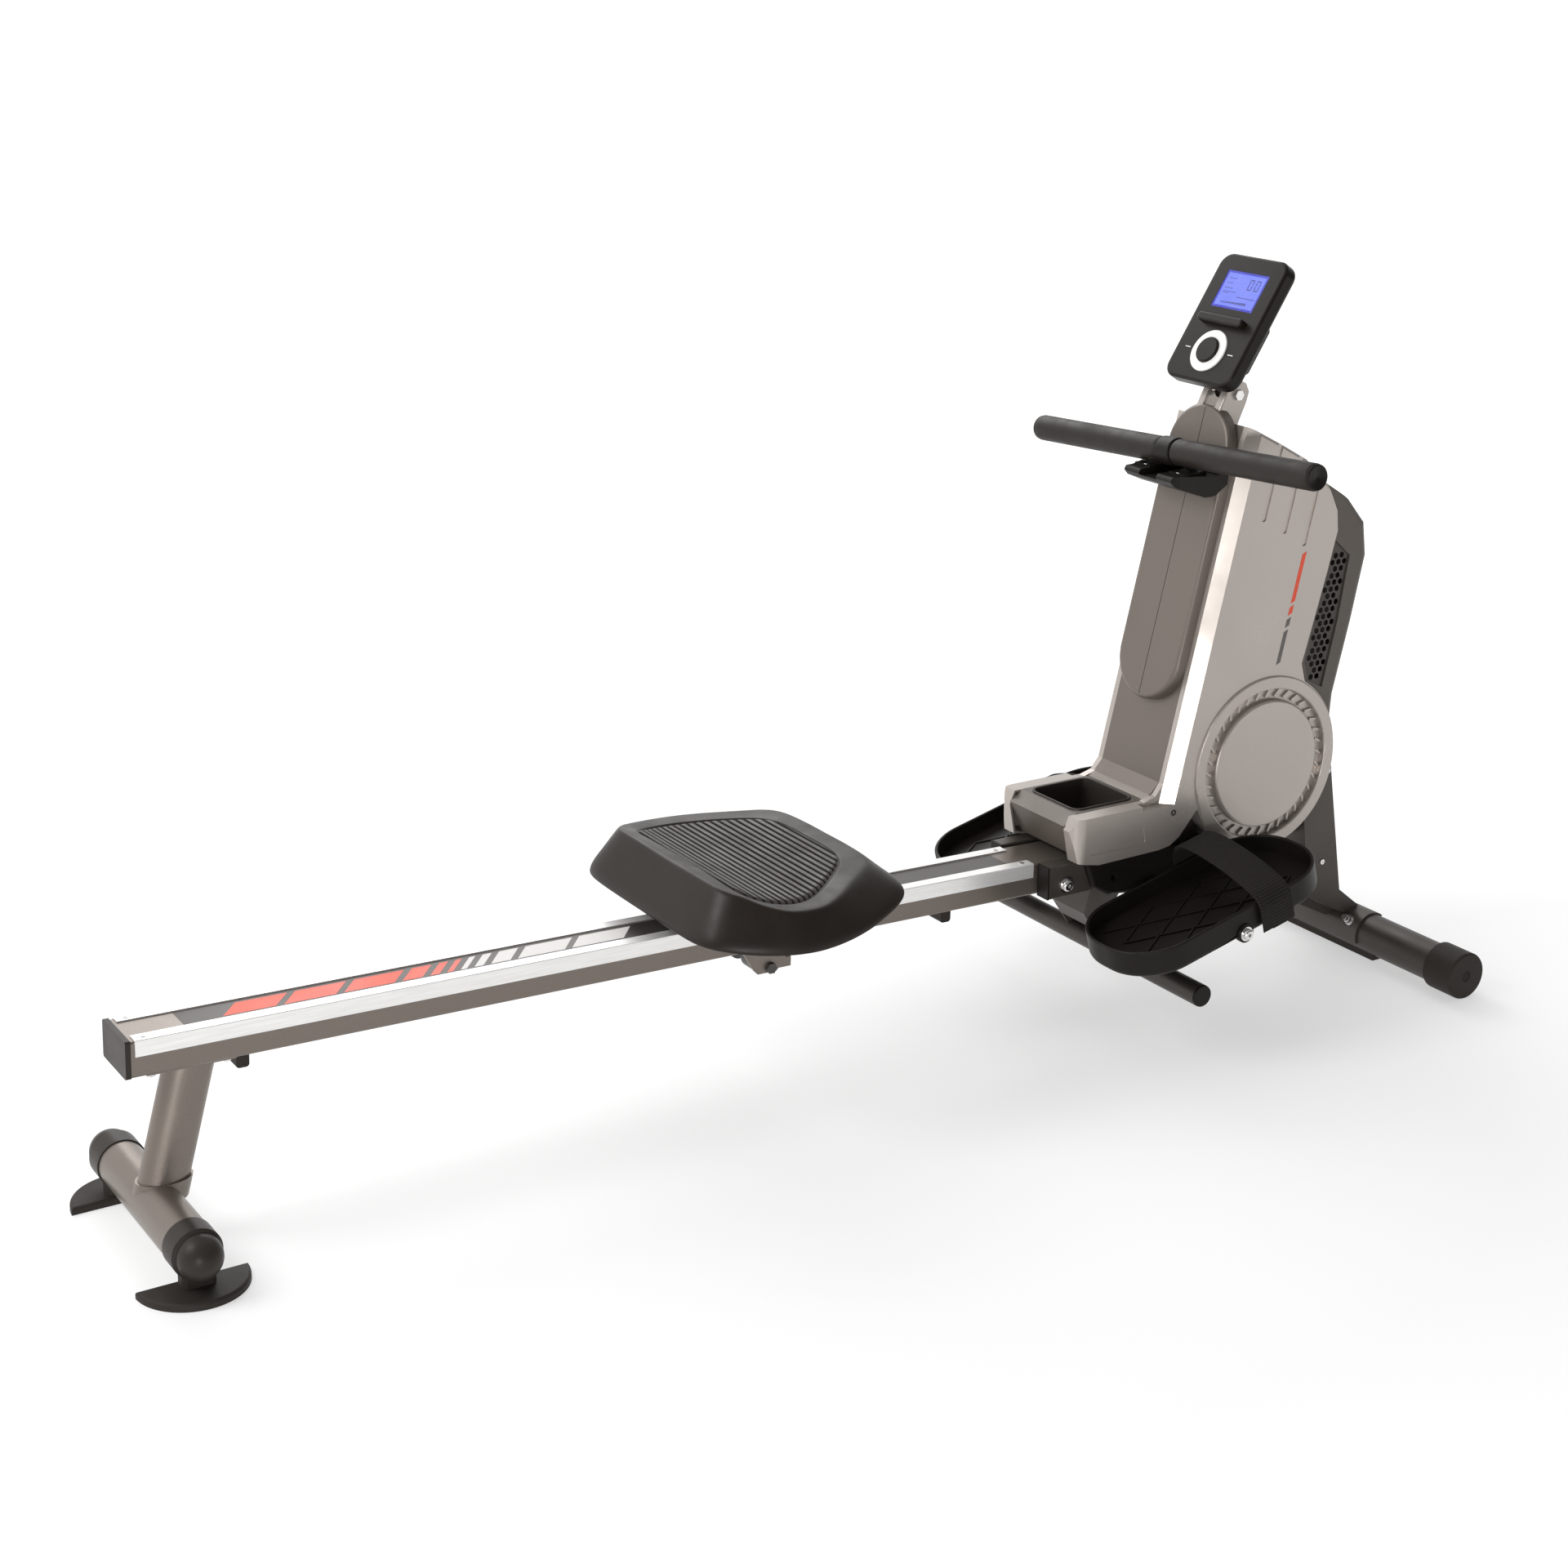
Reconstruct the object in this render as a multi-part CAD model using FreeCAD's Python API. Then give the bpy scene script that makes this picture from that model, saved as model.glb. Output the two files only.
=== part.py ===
"""Folding magnetic rowing machine, one solid per real piece.

Units are millimetres.  Stations along X are counted from the axis of the rear stabilizer
tube, the rail runs towards +X, the user's right-hand side is -Y and the floor is Z = 0.
save() moves every piece so that the origin is the middle of the footprint, on the floor.
"""
import FreeCAD, Part
import math
import os

V = FreeCAD.Vector
OUT = "parts"

# ---------------------------------------------------------------- driving dimensions
TUBE_R = 28.5              # both stabilizer tubes
TUBE_WALL = 2.0
ORIGIN_X = 896.2           # station of the origin

REAR_AXIS_Z = 51.4         # rear stabilizer
REAR_HALF = 140.0
REAR_CAP_R = 30.2
REAR_CAP_IN = 111.6        # inner rim of each rear cap

FRONT_X = 1821.8           # front stabilizer
WHEEL_R = 34.1             # transport wheels on its ends; they stand on the floor
FRONT_HALF = 258.0
WHEEL_IN = 221.0
WHEEL_OUT = 272.8

PIVOT_X = 1261.4           # fold hinge of the rail
PIVOT_Z = 214.1
FOLD_BOLT_R = 6.0
LOCK_ARC = 21.0            # lock pin of the rail, this far in front of the hinge
LOCK_R = 4.0
FOLD_LIMIT = 64.0          # degrees
RAIL_SLOPE = 1.363         # degrees, the rail falls towards the flywheel
RAIL_BACK = -1291.0        # rail tube along its own axis, measured from the hinge
RAIL_FRONT = 32.0
RAIL_HALF_W = 37.6
RAIL_TOP = 26.0
RAIL_BOTTOM = -17.8
STRIP_T = 1.8              # aluminium running strips
STRIP_W = 17.0
STRIP_H = 20.0
STRIP_BACK = -1286.0
STRIP_FRONT = -36.5

SEAT_X = 794.0             # station of the middle of the carriage
SEAT_HALF_W = 214.0
DECK_W = 60.0              # top of the carriage's deck above the hinge line, square to the rail
SEAT_BACK = 640.6
SEAT_FRONT = 938.0
ROLLER_R = 14.0
LOW_ROLLER_R = 14.5

FACE_X = 1426.0            # line of the front cover: x = FACE_X + FACE_SLOPE * (z - FACE_Z)
FACE_Z = 361.0
FACE_SLOPE = 0.24
SHELL_HALF = 85.0          # outside of the silver side shells
SHELL_IN = 62.0
SKIN = 3.0                 # moulded wall thickness
COVER_HALF = 61.6          # front cover between the shells
TRAY_HALF = 60.3
TRAY_RIM_Z = 311.0

FLY_X = 1590.0             # flywheel axle
FLY_Z = 337.0
FLY_R = 100.0
RING_R = 128.0             # round side cover
RING_HOLE_R = 108.0
DRUM_X = 1622.0            # strap drum and drive pulley
DRUM_Z = 560.0
DRUM_R = 35.0

PEDAL_X = 1412.0           # pedal axle
PEDAL_Z = 180.0
PEDAL_Y = 175.0
PEDAL_LEN = 172.0          # half length and half width of the foot plate
PEDAL_HALF = 83.0
PEDAL_TILT = 14.0
REST_X = 1357.5            # cross bar that the folded machine stands on
REST_Z = 95.6
REST_R = 15.2

GRIP_X = 1465.3            # handle parked in its cradle
GRIP_Z = 779.6
GRIP_R = 18.2
GRIP_HALF = 286.0
GRIP_ROLL = -3.4           # degrees, the parked handle leans a little
STRAP_T = 1.6
STRAP_HALF = 14.0
GUIDE_X = 1541.0           # roller that turns the strap out of the housing
GUIDE_R = 11.0

HINGE_X = 1557.0           # console hinge
HINGE_Z = 852.0
CONSOLE_X = 1498.2         # lower edge of the console's face
CONSOLE_Z = 873.2
CONSOLE_LEAN = 57.2        # degrees of the face above horizontal
CONSOLE_W = 134.0
CONSOLE_H = 191.0
CONSOLE_T = 24.0


# ---------------------------------------------------------------- small helpers
def box(x0, x1, y0, y1, z0, z1):
    return Part.makeBox(x1 - x0, y1 - y0, z1 - z0, V(x0, y0, z0))


def cyl_y(x, z, radius, y0, y1):
    return Part.makeCylinder(radius, y1 - y0, V(x, y0, z), V(0, 1, 0))


def tube_y(x, z, outer, inner, y0, y1):
    return cyl_y(x, z, outer, y0, y1).cut(cyl_y(x, z, inner, y0 - 1, y1 + 1))


def cyl_z(x, y, radius, z0, z1):
    return Part.makeCylinder(radius, z1 - z0, V(x, y, z0), V(0, 0, 1))


def polygon_face(points, y=0.0):
    """Flat face in the plane y, from (x, z) corners."""
    corners = [V(x, y, z) for x, z in points]
    return Part.Face(Part.makePolygon(corners + [corners[0]]))


def prism_y(points, y0, y1):
    return polygon_face(points, y0).extrude(V(0, y1 - y0, 0))


def fuse(first, *others):
    result = first.fuse(list(others)) if others else first
    return result.removeSplitter()


def mirrored(shape):
    return shape.mirror(V(0, 0, 0), V(0, 1, 0))


def pair(shape):
    """The piece and its mirror image on the other side."""
    return Part.makeCompound([shape, mirrored(shape)])


def turned(shape, x, z, degrees):
    """Rotate about the Y direction through (x, z); positive lifts the +X end."""
    copy = shape.copy()
    copy.rotate(V(x, 0, z), V(0, -1, 0), degrees)
    return copy


def soften(shape, radius, chosen):
    """Fillet the edges that chosen() picks; leave the shape as it is if that fails."""
    edges = [e for e in shape.Edges if chosen(e)]
    if not edges:
        return shape
    try:
        result = shape.makeFillet(radius, edges)
    except Part.OCCError:
        return shape
    return result if result.isValid() else shape


def runs_along(edge, axis):
    """True for a straight edge parallel to the axis vector."""
    if not isinstance(edge.Curve, (Part.Line, Part.LineSegment)):
        return False
    ends = edge.Vertexes[0].Point - edge.Vertexes[-1].Point
    return ends.Length > 0.01 and abs(abs(ends.normalize().dot(axis)) - 1) < 1e-4


def hexagon_y(x, z, across, y0, y1):
    radius = across / math.sqrt(3)
    points = [(x + radius * math.cos(math.radians(60 * i)), z + radius * math.sin(math.radians(60 * i)))
              for i in range(6)]
    return prism_y(points, y0, y1)


def save(name, shape):
    placed = shape.copy()
    placed.translate(V(-ORIGIN_X, 0, 0))
    placed.exportStep(os.path.join(OUT, name + ".step"))
    print(name, "solids", len(placed.Solids), "valid", placed.isValid())


def on_rail(shape):
    """From rail coordinates (hinge at the origin, X along the rail) to the machine."""
    copy = shape.copy()
    copy.rotate(V(0, 0, 0), V(0, 1, 0), RAIL_SLOPE)
    copy.translate(V(PIVOT_X, 0, PIVOT_Z))
    return copy


def rail_u(station):
    return (station - PIVOT_X) / math.cos(math.radians(RAIL_SLOPE))


def face_x(z):
    return FACE_X + FACE_SLOPE * (z - FACE_Z)


# ---------------------------------------------------------------- rail and rear foot
def rail_tube():
    outer = box(RAIL_BACK, RAIL_FRONT, -RAIL_HALF_W, RAIL_HALF_W, RAIL_BOTTOM, RAIL_TOP)
    outer = soften(outer, 3.0, lambda e: runs_along(e, V(1, 0, 0)))
    wall = 2.5
    inner = box(RAIL_BACK - 1, RAIL_FRONT + 1, -RAIL_HALF_W + wall, RAIL_HALF_W - wall,
                RAIL_BOTTOM + wall, RAIL_TOP - wall)
    bore = cyl_y(0, 0, FOLD_BOLT_R + 0.05, -50, 50)
    bore = fuse(bore, lock_slot())
    sleeve = tube_y(0, 0, 9.0, FOLD_BOLT_R + 0.05, -RAIL_HALF_W + wall, RAIL_HALF_W - wall)
    return on_rail(fuse(outer.cut(inner).cut(bore), sleeve))


def lock_slot():
    """Arc in the rail's side wall that the lock pin runs in while the rail folds."""
    half = LOCK_R + 0.3
    first, last = RAIL_SLOPE - 1.0, RAIL_SLOPE + FOLD_LIMIT + 1.0
    wedge = [(0, 0)]
    ends = []
    for angle in (first, (first + last) / 2, last):
        a = math.radians(angle)
        wedge.append((60 * math.cos(a), 60 * math.sin(a)))
        if angle in (first, last):
            ends.append(cyl_y(LOCK_ARC * math.cos(a), LOCK_ARC * math.sin(a), half, 30, 50))
    ring = tube_y(0, 0, LOCK_ARC + half, LOCK_ARC - half, 30, 50)
    return fuse(ring.common(prism_y(wedge, 29, 51)), *ends)


def rail_strips():
    top = box(STRIP_BACK, STRIP_FRONT, RAIL_HALF_W + STRIP_T - STRIP_W, RAIL_HALF_W + STRIP_T,
              RAIL_TOP, RAIL_TOP + STRIP_T)
    side = box(STRIP_BACK, STRIP_FRONT, RAIL_HALF_W, RAIL_HALF_W + STRIP_T,
               RAIL_TOP + STRIP_T - STRIP_H, RAIL_TOP + STRIP_T)
    strip = fuse(top, side)
    strip = soften(strip, 1.2, lambda e: runs_along(e, V(1, 0, 0))
                   and e.CenterOfMass.y > RAIL_HALF_W + 1 and e.CenterOfMass.z > RAIL_TOP + 1)
    return pair(on_rail(strip))


def strip_screws():
    heads = []
    for u in (STRIP_BACK + 12, STRIP_FRONT - 14):
        for y in (-30.0, 30.0):
            head = cyl_z(u, y, 3.4, RAIL_TOP + STRIP_T, RAIL_TOP + STRIP_T + 0.9)
            head = head.cut(cyl_z(u, y, 1.3, RAIL_TOP + STRIP_T + 0.4, RAIL_TOP + STRIP_T + 2))
            heads.append(on_rail(head))
    return Part.makeCompound(heads)


def rail_end_cap():
    half = RAIL_HALF_W + 1.6
    plate = box(RAIL_BACK - 6.5, RAIL_BACK, -half, half, RAIL_BOTTOM - 0.4, RAIL_TOP + 1.6)
    plate = soften(plate, 3.0, lambda e: runs_along(e, V(1, 0, 0)))
    plug = box(RAIL_BACK, RAIL_BACK + 22, -34.6, 34.6, RAIL_BOTTOM + 3, RAIL_TOP - 3)
    hollow = box(RAIL_BACK + 3, RAIL_BACK + 23, -31.6, 31.6, RAIL_BOTTOM + 6, RAIL_TOP - 6)
    return on_rail(fuse(plate, plug).cut(hollow))


def rail_stops():
    """Rubber buffers under the rail that end the seat's travel."""
    def buffer(station):
        u = rail_u(station)
        block = box(u - 8, u + 8, -22, 22, RAIL_BOTTOM - 21, RAIL_BOTTOM)
        return soften(block, 4.0, lambda e: runs_along(e, V(0, 1, 0)) and e.CenterOfMass.z < RAIL_BOTTOM - 2)
    return Part.makeCompound([on_rail(buffer(1094.0)), on_rail(buffer(107.0))])


LEG_TOP_X, LEG_TOP_Z = 49.0, 212.0
LEG_LOW_X, LEG_LOW_Z = 4.0, 45.0


def leaning_oval(half_x, half_y, z0, z1):
    """Solid oval bar along the leg's line, cut level at both ends."""
    lean = (LEG_TOP_X - LEG_LOW_X) / (LEG_TOP_Z - LEG_LOW_Z)
    ellipse = Part.Ellipse(V(LEG_LOW_X + lean * (z0 - LEG_LOW_Z), 0, z0), half_x, half_y)
    face = Part.Face(Part.Wire([ellipse.toShape()]))
    return face.extrude(V(lean * (z1 - z0), 0, z1 - z0))


def rear_leg():
    """Oval tube, leaning back from the rail to the stabilizer, with its bolting plate."""
    u0, u1 = rail_u(-9.0), rail_u(97.0)
    plate = on_rail(box(u0, u1, -30, 30, RAIL_BOTTOM - 4, RAIL_BOTTOM))
    leg = leaning_oval(31, 21, REAR_AXIS_Z, 225).cut(on_rail(box(u0 - 60, u1 + 60, -60, 60, RAIL_BOTTOM - 3, 60)))
    collar = leaning_oval(34, 24, REAR_AXIS_Z + 4, 80)
    leg = fuse(leg, collar, plate)
    leg = leg.cut(leaning_oval(28.5, 18.5, REAR_AXIS_Z - 5, 208))
    return leg.cut(cyl_y(0, REAR_AXIS_Z, TUBE_R, -60, 60))


def leg_bolts():
    bolts = []
    for station in (-1.0, 89.0):
        for y in (-20.0, 20.0):
            u = rail_u(station)
            head = cyl_z(u, y, 5.5, RAIL_BOTTOM - 8.5, RAIL_BOTTOM - 4.0)
            bolts.append(on_rail(soften(head, 1.5, lambda e: e.CenterOfMass.z < RAIL_BOTTOM - 8)))
    return Part.makeCompound(bolts)


def rear_stabilizer():
    return tube_y(0, REAR_AXIS_Z, TUBE_R, TUBE_R - TUBE_WALL, -REAR_HALF, REAR_HALF)


def rear_caps():
    """Cup over each tube end, stepped down to a smaller domed nose."""
    step, nose_r = REAR_CAP_IN + 30.0, 26.5
    cup = cyl_y(0, REAR_AXIS_Z, REAR_CAP_R, REAR_CAP_IN, step)
    shoulder = Part.makeCone(REAR_CAP_R, nose_r, 3.5, V(0, step, REAR_AXIS_Z), V(0, 1, 0))
    nose = Part.makeSphere(nose_r, V(0, step + 8.0, REAR_AXIS_Z))
    nose = nose.common(box(-50, 50, step, 200, 0, 120))
    cap = fuse(cup, shoulder, nose)
    return pair(cap.cut(cyl_y(0, REAR_AXIS_Z, TUBE_R + 0.05, REAR_CAP_IN - 1, REAR_HALF + 0.3)))


def rear_feet():
    """Half-moon floor plate under each cap, with a stalk up to it and ribs below its rim."""
    inner_y, outer_y, half = 112.0, 176.0, 66.0
    centre_x = 2.5
    chord = Part.LineSegment(V(centre_x - half, inner_y, 0), V(centre_x + half, inner_y, 0))
    bow = Part.Arc(V(centre_x + half, inner_y, 0), V(centre_x, outer_y, 0), V(centre_x - half, inner_y, 0))
    plate = Part.Face(Part.Wire([chord.toShape(), bow.toShape()])).extrude(V(0, 0, 9.0))
    plate = soften(plate, 4.0, lambda e: abs(e.CenterOfMass.z - 9.0) < 0.1)
    stalk = box(centre_x - 20, centre_x + 20, 117, 140, 8, REAR_AXIS_Z - 12)
    stalk = soften(stalk, 6.0, lambda e: runs_along(e, V(0, 0, 1)))
    foot = fuse(plate, stalk).cut(cyl_y(0, REAR_AXIS_Z, REAR_CAP_R + 0.02, 90, 190))
    return pair(foot)


def fold_bolt():
    """Hinge pin of the rail with a domed head and a washer on each side."""
    pin = cyl_y(PIVOT_X, PIVOT_Z, FOLD_BOLT_R, -66.0, 66.0)
    washer = tube_y(PIVOT_X, PIVOT_Z, 11.5, FOLD_BOLT_R, 65.6, 67.2)
    head = cyl_y(PIVOT_X, PIVOT_Z, 8.5, 67.2, 73.0)
    head = soften(head, 4.0, lambda e: e.CenterOfMass.y > 72.9)
    socket = hexagon_y(PIVOT_X, PIVOT_Z, 5.0, 70.5, 74.0)
    end = fuse(washer, head.cut(socket))
    return fuse(pin, end, mirrored(end))


# ---------------------------------------------------------------- seat and carriage
def deck_z(x):
    """Height of the carriage's deck at a station."""
    a = math.radians(RAIL_SLOPE)
    return PIVOT_Z - (x - PIVOT_X - DECK_W * math.sin(a)) * math.tan(a) + DECK_W * math.cos(a)


def seat_pad():
    """Plain body of the saddle: it bows out at its sides, which hang a little below the deck."""
    top = [(SEAT_FRONT, 312), (910, 333), (880, 331), (825, 322), (770, 320), (720, 331), (700, 341),
           (677, 346), (652, 336), (SEAT_BACK, 305)]
    middle = [(SEAT_BACK, 281), (690, deck_z(690)), (900, deck_z(900)), (SEAT_FRONT, 302)] + top
    flap = [(SEAT_BACK, 281), (690, 275.5), (735, 274), (797, 273.5), (878, 285), (SEAT_FRONT, 302)] + top
    side = prism_y(flap, 140, SEAT_HALF_W)
    plan = [(SEAT_BACK, 148), (654, 162), (688, 187.5), (733, 209), (765, SEAT_HALF_W), (797, 213),
            (840, 205), (878, 193), (931, 168), (SEAT_FRONT, 150)]
    corners = [V(x, y, 200) for x, y in plan] + [V(x, -y, 200) for x, y in reversed(plan)]
    outline = Part.Face(Part.makePolygon(corners + [corners[0]])).extrude(V(0, 0, 300))
    return fuse(prism_y(middle, -140, 140), side, mirrored(side)).common(outline)


def seat_carriage():
    """Folded steel bracket over the rail, with the tapered side plates that carry the axles."""
    u = rail_u(SEAT_X)
    half_in, half_out, top = 58.0, 61.0, DECK_W
    deck = box(u - 78, u + 96, -half_out, half_out, top - 3, top)
    low_z = -39.0
    side = [(u - 78, top), (u + 96, top), (u + 96, top - 26), (u + 39, 2), (u + 15.5, low_z + 6),
            (u + 9.5, low_z), (u - 18, low_z), (u - 24, low_z + 6), (u - 46, 2), (u - 78, top - 26)]
    cheek = prism_y(side, half_in, half_out)
    for axle_u, axle_w in roller_places():
        cheek = cheek.cut(cyl_y(axle_u, axle_w, 4.05, 50, 70))
    low_u, low_w = low_roller_place()
    cheek = cheek.cut(cyl_y(low_u, low_w, 4.05, 50, 70))
    bumper = box(u + 29, u + 33, -57.9, 57.9, -37, -24)
    arm = box(u - 4, u + 33, 55.0, 58.0, -37, -24).cut(cyl_y(low_u, low_w, 6.5, 50, 70))
    frame = fuse(deck, cheek, mirrored(cheek), bumper, arm, mirrored(arm))
    return on_rail(frame)


def roller_places():
    """Axle centres of the two upper roller pairs, in rail coordinates."""
    w = RAIL_TOP + STRIP_T + 0.05 + ROLLER_R
    return [(rail_u(SEAT_X) - 56, w), (rail_u(SEAT_X) + 72, w)]


def low_roller_place():
    return rail_u(SEAT_X), RAIL_BOTTOM - 0.05 - LOW_ROLLER_R


def roller_set(u, w, radius, y_in, y_out):
    """Axle with a roller at each end, grooved tyre and a nut outside each cheek."""
    axle = cyl_y(u, w, 4.0, -66.0, 66.0)
    nut = hexagon_y(u, w, 13.0, 61.3, 66.6)
    axle = fuse(axle, nut, mirrored(nut))
    roller = tube_y(u, w, radius, 4.05, y_in, y_out)
    roller = soften(roller, 1.5, lambda e: e.Length > 6.0 * radius)
    return Part.makeCompound([on_rail(axle), on_rail(roller), on_rail(mirrored(roller))])


# ---------------------------------------------------------------- frame and front foot
def main_frame():
    """Welded steel: hinge ears, beam, mast behind the front cover, rear post and brackets."""
    ear = box(1233, 1330, 41.4, 65.4, 197, 243)
    ear = soften(ear, 2.5, lambda e: runs_along(e, V(1, 0, 0)))
    ear = ear.cut(box(1232, 1328, 43.4, 63.4, 199, 241))
    ear = ear.cut(cyl_y(PIVOT_X, PIVOT_Z, FOLD_BOLT_R + 0.05, 30, 70))
    left_ear = ear.cut(cyl_y(PIVOT_X + LOCK_ARC, PIVOT_Z, LOCK_R + 0.1, 30, 70))
    cross = box(1318, 1331, -65.4, 65.4, 199, 237)
    beam = box(1331, 1745, -25, 25, 195, 233)
    post = prism_y([(1722, 98), (1784, 98), (1745, 330), (1690, 330)], -50, 50)
    post = post.cut(prism_y([(1726, 101), (1780, 101), (1742, 327), (1694, 327)], -47, 47))
    mast = [(face_x(240) + 12, 240), (face_x(240) + 47, 240), (face_x(800) + 47, 800), (face_x(800) + 12, 800)]
    mast = prism_y([(x, z) for x, z in mast], -30, 30)
    mast_core = [(face_x(220) + 15, 220), (face_x(220) + 44, 220), (face_x(790) + 44, 790), (face_x(790) + 15, 790)]
    mast = mast.cut(prism_y(mast_core, -27, 27))
    # window through the mast for the strap and its guide roller
    window = box(1480, 1620, -20, 20, 700, 797)
    mast = mast.cut(window).cut(cyl_y(GUIDE_X, GUIDE_Z, 4.05, -40, 40))
    # the top corners clear the sloped end of the front cover
    corner = box(1540, 1600, 25.5, 31, 784, 801)
    mast = mast.cut(corner).cut(mirrored(corner))
    foot = prism_y([(face_x(233) + 5, 230), (1500, 230), (1500, 242), (face_x(242) + 5, 242)], -30, 30)
    cheek = prism_y([(1440, 236), (1500, 236), (1700, 262), (1700, 420), (1720, 520), (1730, 600),
                     (1640, 610), (1560, 580), (1475, 400)], 50, 53)
    slot = prism_y([(1500, 270), (1690, 300), (1690, 400), (1520, 400)], 49, 54)
    cheek = cheek.cut(slot).cut(cyl_y(BRAKE_X, BRAKE_Z, 4.05, 40, 60))
    for x, z, radius in ((FLY_X, FLY_Z, 6.05), (DRUM_X, DRUM_Z, 6.05)):
        cheek = fuse(cheek, cyl_y(x, z, 22, 50, 53))
        cheek = cheek.cut(cyl_y(x, z, radius, 40, 60))
    strut = prism_y([(FLY_X - 120, FLY_Z - 9), (FLY_X + 120, FLY_Z - 9), (FLY_X + 120, FLY_Z + 9),
                     (FLY_X - 120, FLY_Z + 9)], 50, 53).cut(cyl_y(FLY_X, FLY_Z, 6.05, 40, 60))
    cheek = fuse(cheek, strut)
    tie_low = box(1441, 1480, -53, 53, 233, 239)
    tie_high = box(1703, 1722, -53, 53, 588, 592)
    axle_tube = tube_y(PEDAL_X, PEDAL_Z, 13.0, 6.6, -84, 84)
    hanger = prism_y([(1380, 200), (1444, 200), (1424, 172), (1400, 172)], -25, 25)
    hanger = hanger.cut(cyl_y(PEDAL_X, PEDAL_Z, 12.9, -30, 30))
    bracket = rest_bracket()
    saddle_beam = prism_y([(1500, 196), (1560, 196), (1818, 66), (1786, 50)], -25, 25)
    frame = fuse(left_ear, mirrored(ear), cross, beam, post, mast, foot, cheek, mirrored(cheek), tie_low, tie_high,
                 axle_tube, hanger, bracket, saddle_beam, saddle())
    frame = frame.cut(cyl_y(FRONT_X, WHEEL_R, TUBE_R, -120, 120))
    return frame.cut(bolt_holes())


def rest_bracket():
    """Folded plate from the beam down to the cross bar."""
    web = prism_y([(1331, 196), (1395, 196), (1374, 162), (REST_X + 14, REST_Z + 4),
                   (REST_X - 10, REST_Z + 10), (1318, 150)], -36, 36)
    pocket = prism_y([(1336, 193), (1388, 193), (1368, 160), (REST_X + 12, REST_Z - 8),
                      (REST_X - 14, REST_Z + 6), (1325, 150)], -33, 33)
    plate = web.cut(pocket).cut(cyl_y(REST_X, REST_Z, REST_R, -50, 50))
    return plate


def saddle():
    """Half shell on the stabilizer tube, bolted through it."""
    half = 82.0
    shell = cyl_y(FRONT_X, WHEEL_R, TUBE_R + 3.0, -half, half)
    shell = shell.cut(cyl_y(FRONT_X, WHEEL_R, TUBE_R, -half - 1, half + 1))
    keep = prism_y([(FRONT_X - 40, WHEEL_R - 14), (FRONT_X - 10, WHEEL_R - 8), (FRONT_X + 14, WHEEL_R + 10),
                    (FRONT_X + 30, WHEEL_R + 44), (FRONT_X - 40, WHEEL_R + 44)], -half, half)
    shell = shell.common(keep)
    neck = prism_y([(1724, 99), (1784, 99), (1824, 67), (1800, 58), (1760, 78)], -50, 50)
    return fuse(shell, neck)


SADDLE_BOLT_Y = 62.0
SADDLE_BOLT_TILT = 35.0    # degrees of the bolts above horizontal


def saddle_bolt(radius, start, length, y):
    """Cylinder along a saddle bolt's line, from the tube's axis outwards."""
    a = math.radians(180 - SADDLE_BOLT_TILT)
    d = V(math.cos(a), 0, math.sin(a))
    base = V(FRONT_X, y, WHEEL_R) + d * start
    return Part.makeCylinder(radius, length, base, d)


def bolt_holes():
    holes = [saddle_bolt(4.1, 0, 45, y) for y in (-SADDLE_BOLT_Y, SADDLE_BOLT_Y)]
    return Part.makeCompound(holes)


def saddle_bolts():
    bolts = []
    for y in (-SADDLE_BOLT_Y, SADDLE_BOLT_Y):
        shank = saddle_bolt(4.0, 15, 30, y)
        washer = saddle_bolt(9.0, TUBE_R + 3.0, 1.8, y)
        nut = saddle_bolt(6.8, TUBE_R + 4.8, 6.0, y)
        dome = saddle_bolt(5.4, TUBE_R + 10.8, 5.0, y)
        bolts.append(fuse(shank, washer, nut, dome))
    return Part.makeCompound(bolts)


def front_stabilizer():
    tube = tube_y(FRONT_X, WHEEL_R, TUBE_R, TUBE_R - TUBE_WALL, -FRONT_HALF, FRONT_HALF)
    return tube.cut(bolt_holes())


def front_wheel():
    """Roller cup on the end of the front tube, running on a plug inside it (right side)."""
    cup = cyl_y(FRONT_X, WHEEL_R, WHEEL_R, WHEEL_IN, WHEEL_OUT)
    cup = soften(cup, 3.5, lambda e: e.CenterOfMass.y > WHEEL_OUT - 1 and e.Length > 50)
    cup = soften(cup, 1.5, lambda e: e.CenterOfMass.y < WHEEL_IN + 1 and e.Length > 50)
    cup = cup.cut(cyl_y(FRONT_X, WHEEL_R, TUBE_R + 0.5, WHEEL_IN - 1, FRONT_HALF + 3.0))
    cup = cup.cut(cyl_y(FRONT_X, WHEEL_R, 4.05, FRONT_HALF, WHEEL_OUT + 1))
    cup = cup.cut(cyl_y(FRONT_X, WHEEL_R, 7.5, WHEEL_OUT - 2.0, WHEEL_OUT + 1))
    return mirrored(cup)


def wheel_pins():
    """Plug pressed in each end of the front tube, with the pin that carries the wheel."""
    plug = cyl_y(FRONT_X, WHEEL_R, TUBE_R - TUBE_WALL, FRONT_HALF - 30, FRONT_HALF + 1.0)
    pin = cyl_y(FRONT_X, WHEEL_R, 4.0, FRONT_HALF, WHEEL_OUT - 1.8)
    head = cyl_y(FRONT_X, WHEEL_R, 6.8, WHEEL_OUT - 1.8, WHEEL_OUT - 0.4)
    return pair(fuse(plug, pin, head))


def floor_strip():
    """Rubber strip under the front tube, between the wheels."""
    strip = box(FRONT_X - 16, FRONT_X + 4, -105, 105, 1.5, 12)
    return strip.cut(cyl_y(FRONT_X, WHEEL_R, TUBE_R, -120, 120))


def tube_plugs():
    """Plugs in every open tube end of the frame; the front ones carry the wheels' pins."""
    return Part.makeCompound([ear_plugs(), rest_bar_plugs(), wheel_pins()])


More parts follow.
